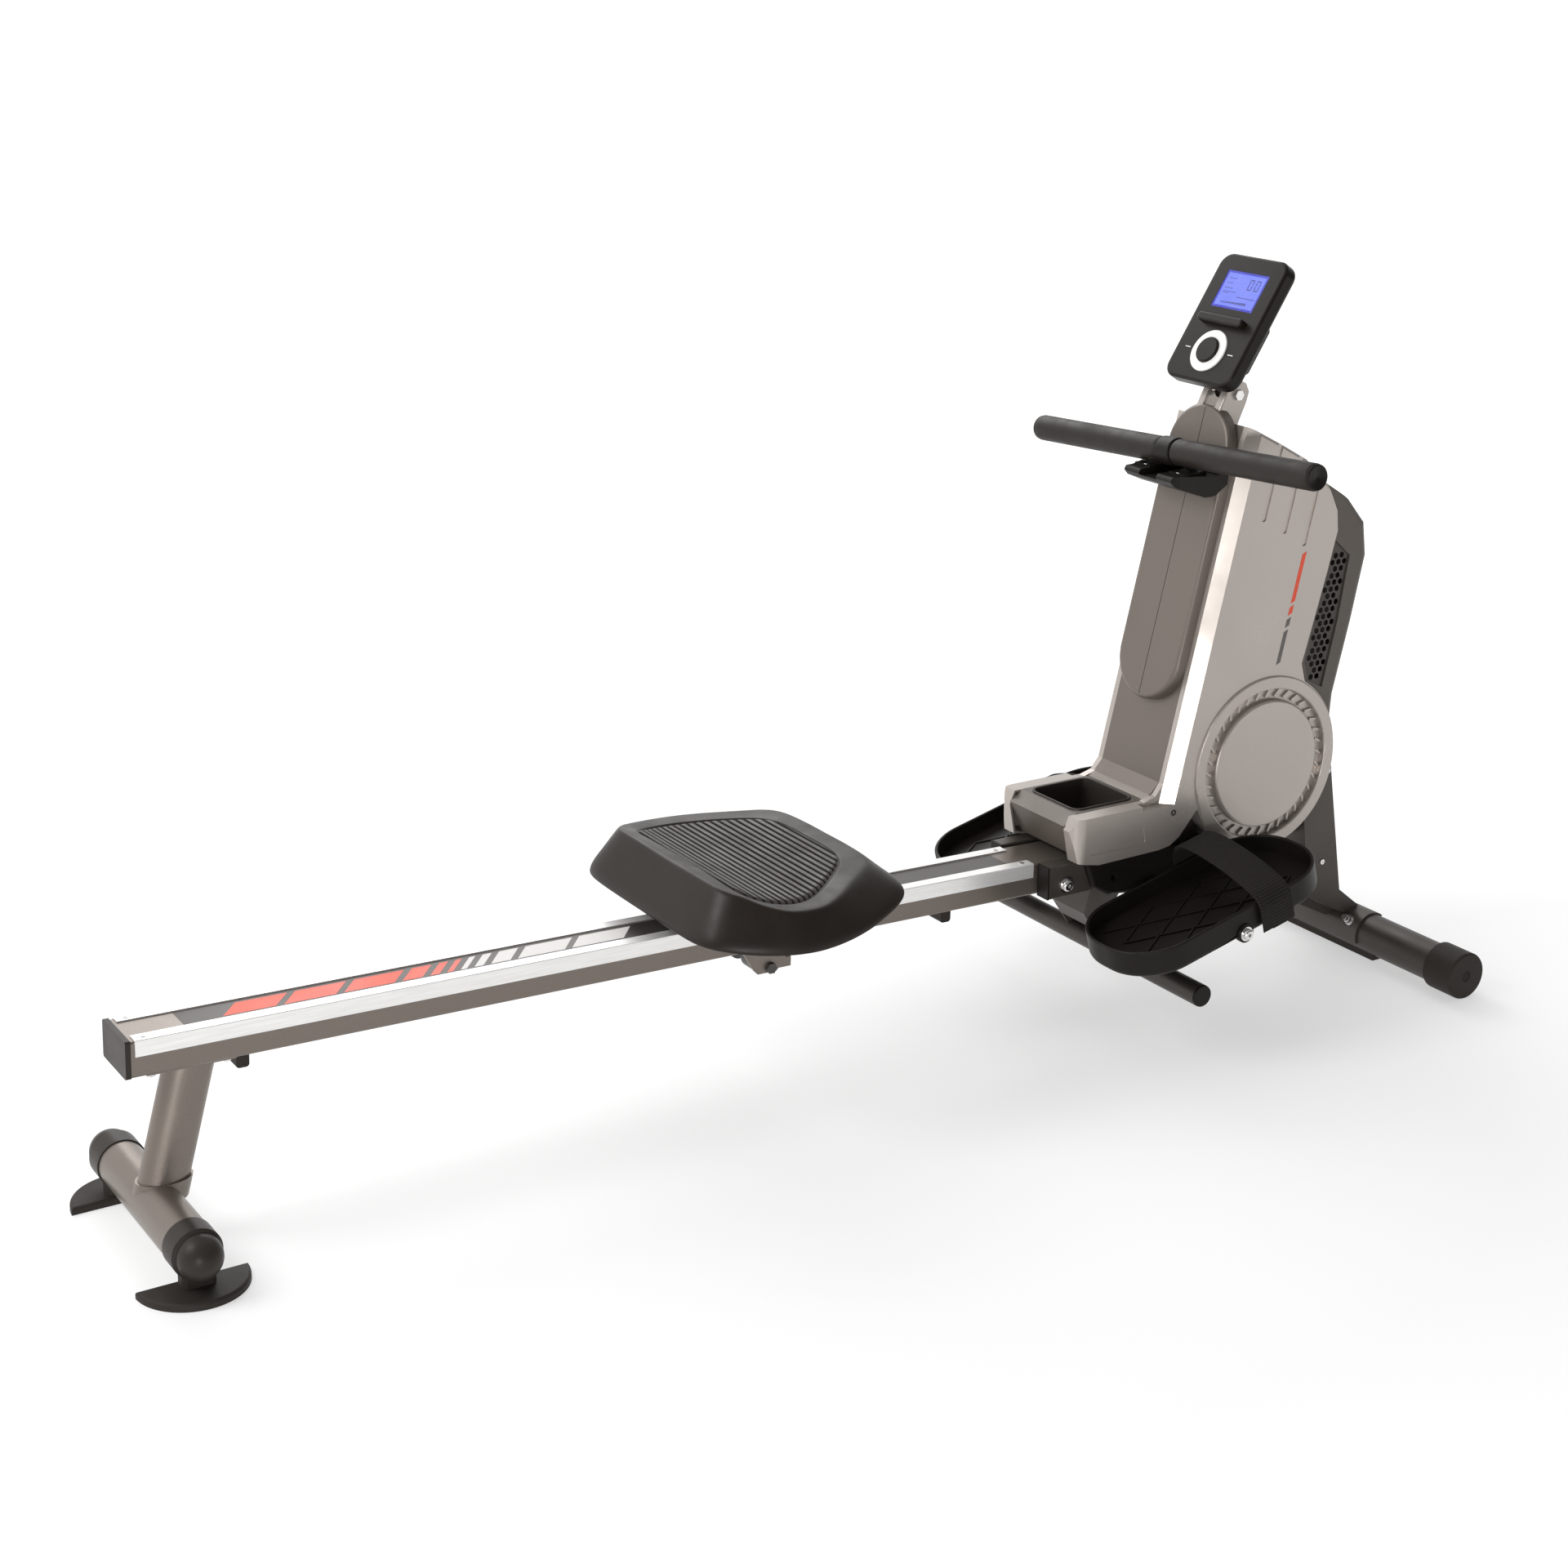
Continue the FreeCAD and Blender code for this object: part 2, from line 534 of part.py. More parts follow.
def ear_plugs():
    plug = box(1230.5, 1233, 41.6, 65.2, 197.2, 242.8)
    stem = box(1233, 1246, 43.4, 63.4, 199, 241)
    return pair(fuse(plug, stem))


def rest_bar():
    return tube_y(REST_X, REST_Z, REST_R, REST_R - 1.6, -240, 240)


def rest_bar_plugs():
    """Flat plug in each end of the cross bar."""
    disc = cyl_y(REST_X, REST_Z, REST_R - 0.3, 240, 243.3)
    disc = soften(disc, 1.2, lambda e: e.CenterOfMass.y > 243)
    stem = cyl_y(REST_X, REST_Z, REST_R - 1.6, 222, 240)
    return pair(fuse(disc, stem))


# ---------------------------------------------------------------- housing
def line_wire(points, y, arc=None):
    """Closed wire in the plane y through (x, z) points; arc = (index, middle point) bends one side."""
    corners = [V(x, y, z) for x, z in points]
    edges = []
    for i, start in enumerate(corners):
        end = corners[(i + 1) % len(corners)]
        if arc and arc[0] == i:
            edges.append(Part.Arc(start, V(arc[1][0], y, arc[1][1]), end).toShape())
        else:
            edges.append(Part.LineSegment(start, end).toShape())
    return Part.Wire(edges)


def ring_point(degrees, radius=RING_R):
    a = math.radians(degrees)
    return FLY_X + radius * math.cos(a), FLY_Z + radius * math.sin(a)


def shell_prism(inset, y0, y1):
    """Side view of a silver shell: tray arm, leaning front, sloped top and the round end."""
    rim = TRAY_RIM_Z - 0.5
    front_top = 800.0
    points = [(1257, 292), (1265, rim), (1386, rim), (1406, 316), (1419, 332),
              (face_x(front_top), front_top), (1538, 817), (1591, 790), (1637, 765), (1677, 727),
              (1697, 687), (1700, 658), (1685, 601), (1667, 539), (1648, 474),
              ring_point(59), ring_point(201), (1440, 256), (1424, 246), (1405, 243), (1300, 241),
              (1266, 248)]
    face = Part.Face(line_wire(points, y0, (15, ring_point(-50))))
    if inset:
        face = face.makeOffset2D(-inset, 0)
    return face.extrude(V(0, y1 - y0, 0))


def front_bevel(depth):
    """Wedge that bevels the leaning front edge of a shell; depth moves it into the shell."""
    z0, z1 = 305.0 - depth, 840.0
    reach = 17.0
    x = face_x(z0)
    half = SHELL_HALF + 0.5
    corners = [V(x - 40, SHELL_IN_FRONT - depth, z0), V(x + depth * 0.6, SHELL_IN_FRONT - depth, z0),
               V(x + reach + depth * 0.6, half, z0), V(x - 40, half, z0)]
    face = Part.Face(Part.makePolygon(corners + [corners[0]]))
    return face.extrude(V(FACE_SLOPE * (z1 - z0), 0, z1 - z0))


SHELL_IN_FRONT = 71.0      # where the bevel starts on the front


def arm_corner(inset):
    """What the rounded plan view corner of a tray arm leaves out; inset counts inwards from the skin."""
    x, half, radius = 1256.0, SHELL_HALF - inset, 20.0 - inset
    x += inset
    corner = box(x - 15, x + radius, half - radius, half + 12, 225, TRAY_RIM_Z + 4)
    return corner.cut(cyl_z(x + radius, half - radius, radius, 220, TRAY_RIM_Z + 6))


def channel(x, z, top_z, width, depth):
    """Long groove with a round lower end, pressed into the side of a shell."""
    length = (top_z - z) * math.hypot(1, FACE_SLOPE)
    groove = fuse(box(-width / 2, width / 2, 0, depth + 6, 0, length), cyl_y(0, 0, width / 2, 0, depth + 6))
    groove.rotate(V(0, 0, 0), V(0, 1, 0), math.degrees(math.atan(FACE_SLOPE)))
    groove.translate(V(x, SHELL_HALF - depth, z))
    return groove


CHANNELS = ((1562, 691, 815), (1601, 670, 800), (1638, 648, 775))


def housing_shell():
    """Left silver side shell (the right one is its mirror image)."""
    outer = shell_prism(0, 0.3, SHELL_HALF)
    outer = outer.cut(front_bevel(0)).cut(arm_corner(0.0))
    outer = soften(outer, 5.0, top_outer_edge)
    inner = shell_prism(SKIN, -1, SHELL_HALF - SKIN).cut(front_bevel(SKIN)).cut(arm_corner(SKIN))
    wall = outer.cut(inner)
    side = wall.common(box(1200, 1800, SHELL_IN, 90, 318, 860))
    arm = wall.common(box(1200, 1800, TRAY_HALF + 0.2, 90, 200, 318))
    crown = wall.common(box(1590, 1690, 0.3, SHELL_IN, 722, 860))
    shell = fuse(side, arm, crown)
    shell = shell.cut(box(1280, 1334, TRAY_HALF, 66, 238, 243.3))
    shell = shell.cut(cyl_y(FLY_X, FLY_Z, RING_HOLE_R, 40, 100))
    ring = tube_y(FLY_X, FLY_Z, RING_R - 1.5, RING_HOLE_R, SHELL_HALF - 7, SHELL_HALF + 3.0)
    ring = soften(ring, 2.2, lambda e: e.CenterOfMass.y > SHELL_HALF + 2.9)
    shell = fuse(shell, ring)
    for x, z, top_z in CHANNELS:
        shell = shell.cut(channel(x, z, top_z, 9.0, 1.8))
        top_x = x + FACE_SLOPE * (top_z - z)
        vent = box(top_x - 16, top_x + 2, 44, SHELL_HALF + 1, top_z - 40, top_z + 20)
        vent.rotate(V(top_x, 0, top_z), V(0, 1, 0), 30)
        shell = shell.cut(vent.common(box(1500, 1700, 44, SHELL_HALF - 4, 700, 900)))
    badge = prism_y([(1280, 291), (1376, 287), (1381, 257), (1281, 257)], SHELL_HALF - 1.4, SHELL_HALF + 1)
    badge = soften(badge, 4.0, lambda e: runs_along(e, V(0, 1, 0)))
    shell = shell.cut(badge)
    for x, z in ((1428, 293), (1326, 222)):
        shell = shell.cut(cyl_y(x, z, 4.6, SHELL_HALF - 2.0, 100))
    return shell


def top_outer_edge(edge):
    """Edges where the sloped top turns over to the side."""
    c = edge.CenterOfMass
    return abs(c.y - SHELL_HALF) < 0.1 and c.z > 720 and c.x > 1540


def front_cover():
    """Dark skin between the shells, from the tray up to the console bracket."""
    out = [(1393, 306), (1393, 311), (1404, 316), (1419, 332), (face_x(800), 800), (1538, 817), (1588, 791)]
    inside = [(1588, 787.5), (1539.5, 812.5), (face_x(798) + SKIN, 798), (1422, 331), (1407, 313), (1397, 306)]
    skin = prism_y(out + inside, -COVER_HALF, COVER_HALF)
    flank = box(1390, 1425, TRAY_HALF + 0.1, 90, 200, 318)
    skin = skin.cut(flank).cut(mirrored(flank))
    skin = skin.cut(box(1500, 1585, -26, 26, 790, 830))
    return skin.cut(strap_window())


def strap_window():
    return box(1400, 1545, -17, 17, GRIP_Z - 6, GRIP_Z + 6)


def leaning(shape):
    """From cover coordinates (X across its thickness, Z up its face) to the machine."""
    copy = shape.copy()
    copy.rotate(V(0, 0, 0), V(0, 1, 0), math.degrees(math.atan(FACE_SLOPE)))
    copy.translate(V(FACE_X, 0, FACE_Z))
    return copy


CAPSULE_HALF = 63.0
CAPSULE_LOW = 74.0         # along the face, from FACE_Z
CAPSULE_HIGH = 489.0
CAPSULE_PROUD = 17.0


def capsule(half, low, high, x0, x1):
    """Long plate with round ends, standing on the front cover."""
    body = box(x0, x1, -half, half, low + half, high - half)
    ends = [Part.makeCylinder(half, x1 - x0, V(x0, 0, z), V(1, 0, 0)) for z in (low + half, high - half)]
    return fuse(body, *ends)


def spine_cover():
    """Raised capsule on the front, with a seam down its middle."""
    shape = capsule(CAPSULE_HALF, CAPSULE_LOW, CAPSULE_HIGH, -CAPSULE_PROUD, -0.2)
    shape = soften(shape, 7.0, lambda e: abs(e.CenterOfMass.x + CAPSULE_PROUD) < 0.05)
    hollow = capsule(CAPSULE_HALF - SKIN, CAPSULE_LOW + SKIN, CAPSULE_HIGH - SKIN, -CAPSULE_PROUD + SKIN, 1)
    seam = box(-CAPSULE_PROUD - 1, -CAPSULE_PROUD + 0.8, -0.6, 0.6, CAPSULE_LOW, CAPSULE_HIGH)
    bracket_room = box(1524.4, 1600, -25.2, 25.2, 799, 860)
    return leaning(shape.cut(hollow).cut(seam)).cut(strap_window()).cut(bracket_room)


BACK_EDGE = ((1677, 727), (1730, 695), (1758, 663), (1765, 615), (1745, 522), (1719, 418), (1714, 345))
SEAM_EDGE = ((1662, 345), (1662, 440), (1652, 474), (1670, 539), (1688, 601), (1703.5, 658), (1700.5, 688))
MESH = ((1699, 645), (1729, 619), (1714, 527), (1692, 432), (1664, 446), (1656, 474))


def back_shell():
    """Dark rear cover with an opening on each side for the mesh."""
    half = SHELL_HALF - 3.5
    points = list(BACK_EDGE) + list(SEAM_EDGE)
    outer = Part.Face(line_wire(points, -half)).extrude(V(0, 2 * half, 0))
    outer = soften(outer, 12.0, back_corner)
    grown = [(x - SKIN, z - SKIN) for x, z in BACK_EDGE] + [(x - 30, z - 8) for x, z in SEAM_EDGE]
    inner = prism_y(grown, -half + SKIN, half - SKIN)
    shell = outer.cut(inner)
    shell = shell.cut(prism_y(MESH, -100, 100))
    # room for the round side covers
    shell = shell.cut(cyl_y(FLY_X, FLY_Z, RING_R + 0.6, -100, -60)).cut(cyl_y(FLY_X, FLY_Z, RING_R + 0.6, 60, 100))
    return shell


def back_corner(edge):
    c = edge.CenterOfMass
    return abs(abs(c.y) - (SHELL_HALF - 3.5)) < 0.1 and (c.x > 1722 or (c.z < 470 and c.x > 1710))


def mesh_grilles():
    """Perforated plate in each side opening, set a little below the skin."""
    y0 = SHELL_HALF - 7.5
    plate = prism_y(MESH, y0, y0 + 1.6)
    pitch, hole_r = 11.0, 4.6
    holes = []
    for row in range(26):
        for column in range(9):
            x = 1650 + column * pitch + (row % 2) * pitch / 2
            z = 430 + row * pitch * 0.866
            holes.append((x, z))
    cutters = [hexagon_point_up(x, z, hole_r, y0 - 1, y0 + 3) for x, z in holes if inside(x, z, MESH, 6.0)]
    return pair(plate.cut(Part.makeCompound(cutters)))


def hexagon_point_up(x, z, radius, y0, y1):
    points = [(x + radius * math.sin(math.radians(60 * i)), z + radius * math.cos(math.radians(60 * i)))
              for i in range(6)]
    return prism_y(points, y0, y1)


def inside(x, z, outline, margin):
    """True when (x, z) lies inside a convex-enough outline by at least margin."""
    face = polygon_face(outline)
    return face.isInside(V(x, 0, z), 0.01, True) and Part.Vertex(V(x, 0, z)).distToShape(face.OuterWire)[0] > margin


def side_cover():
    """Round cover over the flywheel: recessed ribbed annulus and a raised disc (left side)."""
    base = cyl_y(FLY_X, FLY_Z, RING_HOLE_R - 0.3, SHELL_HALF - 9, SHELL_HALF - 6)
    disc = cyl_y(FLY_X, FLY_Z, 92.0, SHELL_HALF - 6, SHELL_HALF + 3.5)
    disc = soften(disc, 3.5, lambda e: e.CenterOfMass.y > SHELL_HALF + 3)
    dish = Part.makeSphere(900.0, V(FLY_X, SHELL_HALF + 2.6 + 898.0, FLY_Z))
    disc = disc.cut(dish)
    ribs = []
    for i in range(36):
        rib = box(95.0, RING_HOLE_R - 1.0, SHELL_HALF - 6, SHELL_HALF - 2.5, -1.6, 1.6)
        rib.rotate(V(101, 0, 0), V(0, 1, 0), 35)
        rib.rotate(V(0, 0, 0), V(0, 1, 0), 10.0 * i)
        rib.translate(V(FLY_X, 0, FLY_Z))
        ribs.append(rib)
    return fuse(base, disc, *ribs)


def tray():
    """Open box between the arms of the shells, with a bevelled front."""
    side = [(1277, TRAY_RIM_Z), (1257, 297), (1279, 250), (1285, 246), (1392, 246), (1392, TRAY_RIM_Z)]
    body = prism_y(side, -TRAY_HALF, TRAY_HALF)
    x0, x1, half, floor = 1285.0, 1383.0, 50.0, 258.0
    recess = box(x0, x1, -half, half, floor, 330)
    recess = soften(recess, 13.0, lambda e: runs_along(e, V(0, 0, 1)))
    recess = soften(recess, 5.0, lambda e: abs(e.CenterOfMass.z - floor) < 0.1)
    lip = box(x0 - 3, x1 + 3, -half - 3, half + 3, TRAY_RIM_Z, TRAY_RIM_Z + 1.5)
    lip = soften(lip, 15.0, lambda e: runs_along(e, V(0, 0, 1)))
    return fuse(body, lip).cut(recess)


def lower_shell():
    """Black belly cover under the tray, open where the frame passes through."""
    side = [(1288, 240), (1302, 204), (1330, 188), (1420, 178), (1492, 176), (1504, 200), (1504, 240)]
    inset = [(1292, 250), (1305, 207), (1331, 191), (1420, 181), (1490, 179), (1500, 202), (1500, 250)]
    half = 75.0
    shell = prism_y(side, -half, half)
    shell = soften(shell, 6.0, lambda e: abs(abs(e.CenterOfMass.y) - half) < 0.1 and e.CenterOfMass.z < 235)
    shell = shell.cut(prism_y(inset, -half + SKIN, half - SKIN))
    shell = shell.cut(box(1280, 1334, -66.5, 66.5, 150, 250))
    shell = shell.cut(box(1310, 1404, -39, 39, 170, 200))
    shell = shell.cut(cyl_y(PEDAL_X, PEDAL_Z, 14.0, -90, 90))
    shell = shell.cut(box(PEDAL_X - 14, PEDAL_X + 14, -90, 90, 165, PEDAL_Z))
    shell = shell.cut(box(PEDAL_X - 34, PEDAL_X + 34, -27, 27, 165, 200))
    shell = shell.cut(box(1480, 1540, -27, 27, 165, 240))
    # room for the cheeks' lower corners
    shell = shell.cut(box(1496, 1510, -54, 54, 232, 245))
    shell = shell.cut(cyl_y(1335, 212, 5.0, 70, 80)).cut(cyl_y(1335, 212, 5.0, -80, -70))
    return shell


def housing_screws():
    """Pan-head screws that hold the shells and the cradle."""
    screws = []
    for x, z, y in ((1428, 293, SHELL_HALF - 2.0), (1745, 150, 50.0), (1745, 290, 50.0)):
        head = cyl_y(x, z, 3.8, y, y + 1.8)
        head = head.cut(box(x - 2.4, x + 2.4, y + 1.0, y + 3, z - 0.5, z + 0.5))
        head = head.cut(box(x - 0.5, x + 0.5, y + 1.0, y + 3, z - 2.4, z + 2.4))
        screws += [head, mirrored(head)]
    for y in (-34.0, 34.0):
        head = Part.makeCylinder(4.2, 2.5, V(1452, y, CRADLE_TOP), V(0, 0, 1))
        screws.append(soften(head, 1.0, lambda e: e.CenterOfMass.z > CRADLE_TOP + 2.4))
    return Part.makeCompound(screws)


# ---------------------------------------------------------------- drive inside the housing
def machine_axles():
    """Fixed pins: flywheel axle, drum shaft, guide roller pin and brake pin."""
    fly = fuse(cyl_y(FLY_X, FLY_Z, 6.0, -62, 62), nut_pair(FLY_X, FLY_Z, 17.0))
    drum = fuse(cyl_y(DRUM_X, DRUM_Z, 6.0, -62, 62), nut_pair(DRUM_X, DRUM_Z, 17.0))
    guide = cyl_y(GUIDE_X, GUIDE_Z, 4.0, -32, 32)
    brake = cyl_y(BRAKE_X, BRAKE_Z, 4.0, -55, 55)
    return Part.makeCompound([fly, drum, guide, brake])


def nut_pair(x, z, across):
    nut = hexagon_y(x, z, across, 53.1, 59.0)
    return fuse(nut, mirrored(nut))


GUIDE_Z = GRIP_Z - STRAP_T / 2 - 0.3 - GUIDE_R
BRAKE_X, BRAKE_Z = 1660.0, 442.0
BELT_Y0, BELT_Y1 = 24.0, 34.0
FLY_PULLEY_R = 18.0
DRIVE_PULLEY_R = 74.0


def flywheel():
    """Cast rim and web with its small belt pulley."""
    disc = cyl_y(FLY_X, FLY_Z, FLY_R, -12, 12)
    waist = tube_y(FLY_X, FLY_Z, 78.0, 26.0, -20, -5)
    disc = disc.cut(waist).cut(mirrored(waist))
    hub = cyl_y(FLY_X, FLY_Z, 22.0, -22, 22)
    pulley = cyl_y(FLY_X, FLY_Z, FLY_PULLEY_R, 20, BELT_Y1 + 3)
    flange = cyl_y(FLY_X, FLY_Z, FLY_PULLEY_R + 4, BELT_Y1 + 1, BELT_Y1 + 3)
    wheel = fuse(disc, hub, pulley, flange)
    seats = fuse(cyl_y(FLY_X, FLY_Z, 14.0, -23, -11), cyl_y(FLY_X, FLY_Z, 14.0, BELT_Y1 - 6, BELT_Y1 + 5))
    return wheel.cut(seats).cut(cyl_y(FLY_X, FLY_Z, 9.0, -60, 60))


def flywheel_bearings():
    near = tube_y(FLY_X, FLY_Z, 14.0, 6.05, -21, -11)
    far = tube_y(FLY_X, FLY_Z, 14.0, 6.05, BELT_Y1 - 6, BELT_Y1 + 3)
    return Part.makeCompound([near, far])


def drive_pulley():
    """Large pulley with a one-way clutch hub, beside the strap drum."""
    rim = cyl_y(DRUM_X, DRUM_Z, DRIVE_PULLEY_R, BELT_Y0 - 1, BELT_Y1 + 1)
    rim = rim.cut(tube_y(DRUM_X, DRUM_Z, DRIVE_PULLEY_R - 8, 22, BELT_Y0 + 4, BELT_Y1 + 2))
    windows = [cyl_y(DRUM_X + 46 * math.cos(a), DRUM_Z + 46 * math.sin(a), 13, BELT_Y0 - 2, BELT_Y1 + 2)
               for a in [math.radians(60 * i) for i in range(6)]]
    for window in windows:
        rim = rim.cut(window)
    return rim.cut(cyl_y(DRUM_X, DRUM_Z, 14.0, 0, 60))


def strap_drum():
    """Spool between two flanges, with the sleeve that carries the pulley's clutch."""
    spool = cyl_y(DRUM_X, DRUM_Z, DRUM_R, -18, 18)
    flange = cyl_y(DRUM_X, DRUM_Z, DRUM_R + 12, 16.5, 18.5)
    sleeve = cyl_y(DRUM_X, DRUM_Z, 14.0, 18, BELT_Y1 + 4)
    return fuse(spool, flange, mirrored(flange), sleeve).cut(cyl_y(DRUM_X, DRUM_Z, 6.05, -60, 60))


def recoil_case():
    """Round case of the flat spring that winds the strap back in; it hangs on the left cheek."""
    case = cyl_y(DRUM_X, DRUM_Z, 42.0, -44.0, -22.0)
    case = soften(case, 3.0, lambda e: e.Length > 200)
    return fuse(case, box(DRUM_X - 8, DRUM_X + 8, -50, -40, DRUM_Z - 30, DRUM_Z + 30)).cut(
        cyl_y(DRUM_X, DRUM_Z, 6.1, -60, 0))


def tangent_angles(x1, z1, r1, x2, z2, r2, crossed):
    """Angle of the contact radius on both circles for the belt side that lies towards -X."""
    dx, dz = x2 - x1, z2 - z1
    distance = math.hypot(dx, dz)
    heading = math.atan2(dz, dx)
    total = r1 + r2 if crossed else r1 - r2
    return heading, math.acos(total / distance)


def belt_outline(extra, y):
    """Closed loop round both pulleys, extra outside their rims."""
    r1, r2 = FLY_PULLEY_R + extra, DRIVE_PULLEY_R + extra
    heading, spread = tangent_angles(FLY_X, FLY_Z, r1, DRUM_X, DRUM_Z, r2, False)

    def on(x, z, r, a):
        return V(x + r * math.cos(a), y, z + r * math.sin(a))
    a0, a1 = heading + spread, heading - spread
    back = heading + math.pi
    edges = [Part.LineSegment(on(FLY_X, FLY_Z, r1, a1), on(DRUM_X, DRUM_Z, r2, a1)),
             Part.Arc(on(DRUM_X, DRUM_Z, r2, a1), on(DRUM_X, DRUM_Z, r2, heading), on(DRUM_X, DRUM_Z, r2, a0)),
             Part.LineSegment(on(DRUM_X, DRUM_Z, r2, a0), on(FLY_X, FLY_Z, r1, a0)),
             Part.Arc(on(FLY_X, FLY_Z, r1, a0), on(FLY_X, FLY_Z, r1, back), on(FLY_X, FLY_Z, r1, a1))]
    return Part.Face(Part.Wire([e.toShape() for e in edges]))


def drive_belt():
    """Ribbed belt from the drive pulley to the flywheel."""
    width = BELT_Y1 - BELT_Y0 - 1.0
    outer = belt_outline(2.6, BELT_Y0 + 0.5).extrude(V(0, width, 0))
    inner = belt_outline(0.3, BELT_Y0 - 1).extrude(V(0, width + 5, 0))
    return outer.cut(inner)


def band(x, z, radius, a0, a1, half):
    """Strap wrapped on a roller from angle a0 to a1 (degrees), radius at its inner face."""
    def on(r, a):
        return V(x + r * math.cos(math.radians(a)), -half, z + r * math.sin(math.radians(a)))
    outer, middle = radius + STRAP_T, (a0 + a1) / 2
    edges = [Part.Arc(on(radius, a0), on(radius, middle), on(radius, a1)),
             Part.LineSegment(on(radius, a1), on(outer, a1)),
             Part.Arc(on(outer, a1), on(outer, middle), on(outer, a0)),
             Part.LineSegment(on(outer, a0), on(radius, a0))]
    return Part.Face(Part.Wire([e.toShape() for e in edges])).extrude(V(0, 2 * half, 0))


def pull_strap():
    """Webbing parked inside: out through the cover, over the guide roller and round the drum."""
    gap = 0.3
    r1, r2 = GUIDE_R + gap, DRUM_R + gap
    heading, spread = tangent_angles(GUIDE_X, GUIDE_Z, r1, DRUM_X, DRUM_Z, r2 + STRAP_T, True)
    leave = math.degrees(heading + spread)
    arrive = leave + 180.0
    run = box(GRIP_X + STRAP_LUG + 0.4, GUIDE_X, -STRAP_HALF, STRAP_HALF, GRIP_Z - STRAP_T / 2, GRIP_Z + STRAP_T / 2)
    over = band(GUIDE_X, GUIDE_Z, r1, leave, 90.0, STRAP_HALF)
    around = band(DRUM_X, DRUM_Z, r2, arrive, arrive + 250.0, STRAP_HALF)
    a, b = math.radians(leave), math.radians(arrive)
    p = V(GUIDE_X + r1 * math.cos(a), -STRAP_HALF, GUIDE_Z + r1 * math.sin(a))
    q = V(DRUM_X + (r2 + STRAP_T) * math.cos(b), -STRAP_HALF, DRUM_Z + (r2 + STRAP_T) * math.sin(b))
    step = V(math.cos(a), 0, math.sin(a)) * STRAP_T
    drop = Part.Face(Part.makePolygon([p, q, q + step, p + step, p])).extrude(V(0, 2 * STRAP_HALF, 0))
    return fuse(run, over, drop, around)


def guide_roller():
    return tube_y(GUIDE_X, GUIDE_Z, GUIDE_R, 4.05, -16, 16)


def brake_arm():
    """Curved yoke over the flywheel's rim, swinging on its pin."""
    yoke = cyl_y(FLY_X, FLY_Z, FLY_R + 11, -15, 15).cut(cyl_y(FLY_X, FLY_Z, FLY_R + 7.5, -20, 20))
    sector = prism_y([(FLY_X, FLY_Z), (FLY_X + 68, FLY_Z + 125), (FLY_X - 68, FLY_Z + 125)], -30, 30)
    yoke = yoke.common(sector)
    boss = tube_y(BRAKE_X, BRAKE_Z, 8.0, 4.05, -15, 15)
    web = prism_y([(BRAKE_X - 4, BRAKE_Z + 6), (BRAKE_X - 4, BRAKE_Z - 6), (FLY_X + 44, FLY_Z + 101.5),
                   (FLY_X + 40, FLY_Z + 106)], -15, 15).cut(cyl_y(BRAKE_X, BRAKE_Z, 4.05, -20, 20))
    return fuse(yoke, boss, web)


def brake_magnets():
    """Four block magnets under the yoke, just clear of the rim."""
    blocks = []
    for angle in (72, 84, 96, 108):
        block = box(FLY_R + 2.0, FLY_R + 7.3, -10, 10, -7, 7)
        block.rotate(V(0, 0, 0), V(0, 1, 0), -angle)
        block.translate(V(FLY_X, 0, FLY_Z))
        blocks.append(block)
    return Part.makeCompound(blocks)


# ---------------------------------------------------------------- handle and cradle
CRADLE_TOP = GRIP_Z - GRIP_R - 6.0
STRAP_LUG = 30.0


def handle_cradle():
    """Shelf on the capsule that the parked handle lies on, open in its middle for the strap."""
    back = face_x(760) - CAPSULE_PROUD - 4
    side = [(back + 6, 742), (back - 14, 729), (back - 30, 727), (1432, 742), (1424, 750), (1428, CRADLE_TOP),
            (back - 10, CRADLE_TOP), (back - 2, CRADLE_TOP + 12), (back + 9, CRADLE_TOP + 12)]
    shelf = prism_y(side, -70, 70)
    shelf = shelf.cut(capsule_clearance())
    plan = [(1400, 46), (1440, 50), (1478, 70), (1560, 70)]
    corners = [V(x, y, 700) for x, y in plan] + [V(x, -y, 700) for x, y in reversed(plan)]
    shelf = shelf.common(Part.Face(Part.makePolygon(corners + [corners[0]])).extrude(V(0, 0, 120)))
    shelf = soften(shelf, 3.0, lambda e: runs_along(e, V(0, 1, 0)) and e.CenterOfMass.x < 1470)
    prong = box(1446, 1484, 20, 52, CRADLE_TOP - 1, GRIP_Z - 8)
    groove = cyl_y(GRIP_X, GRIP_Z, GRIP_R + 3.8, -80, 80).fuse(box(1400, GRIP_X, -80, 80, GRIP_Z - GRIP_R - 3.8, 820))
    prong = prong.cut(groove)
    middle = box(1400, 1530, -18, 18, CRADLE_TOP - 8, 800)
    cradle = fuse(shelf, prong, mirrored(prong)).cut(middle)
    screw_room = cyl_z(1452, 34.0, 5.5, CRADLE_TOP, CRADLE_TOP + 40)
    return cradle.cut(screw_room).cut(mirrored(screw_room))


def capsule_clearance():
    """Space of the capsule, a hair larger, for pieces that sit on it."""
    shape = capsule(CAPSULE_HALF + 0.1, CAPSULE_LOW, CAPSULE_HIGH, -CAPSULE_PROUD - 0.1, 60)
    return leaning(shape)


def on_handle(shape):
    copy = shape.copy()
    copy.rotate(V(GRIP_X, 0, GRIP_Z), V(1, 0, 0), GRIP_ROLL)
    return copy


def handle_bar():
    return on_handle(tube_y(GRIP_X, GRIP_Z, 11.0, 9.4, -GRIP_HALF + 3, GRIP_HALF - 3))


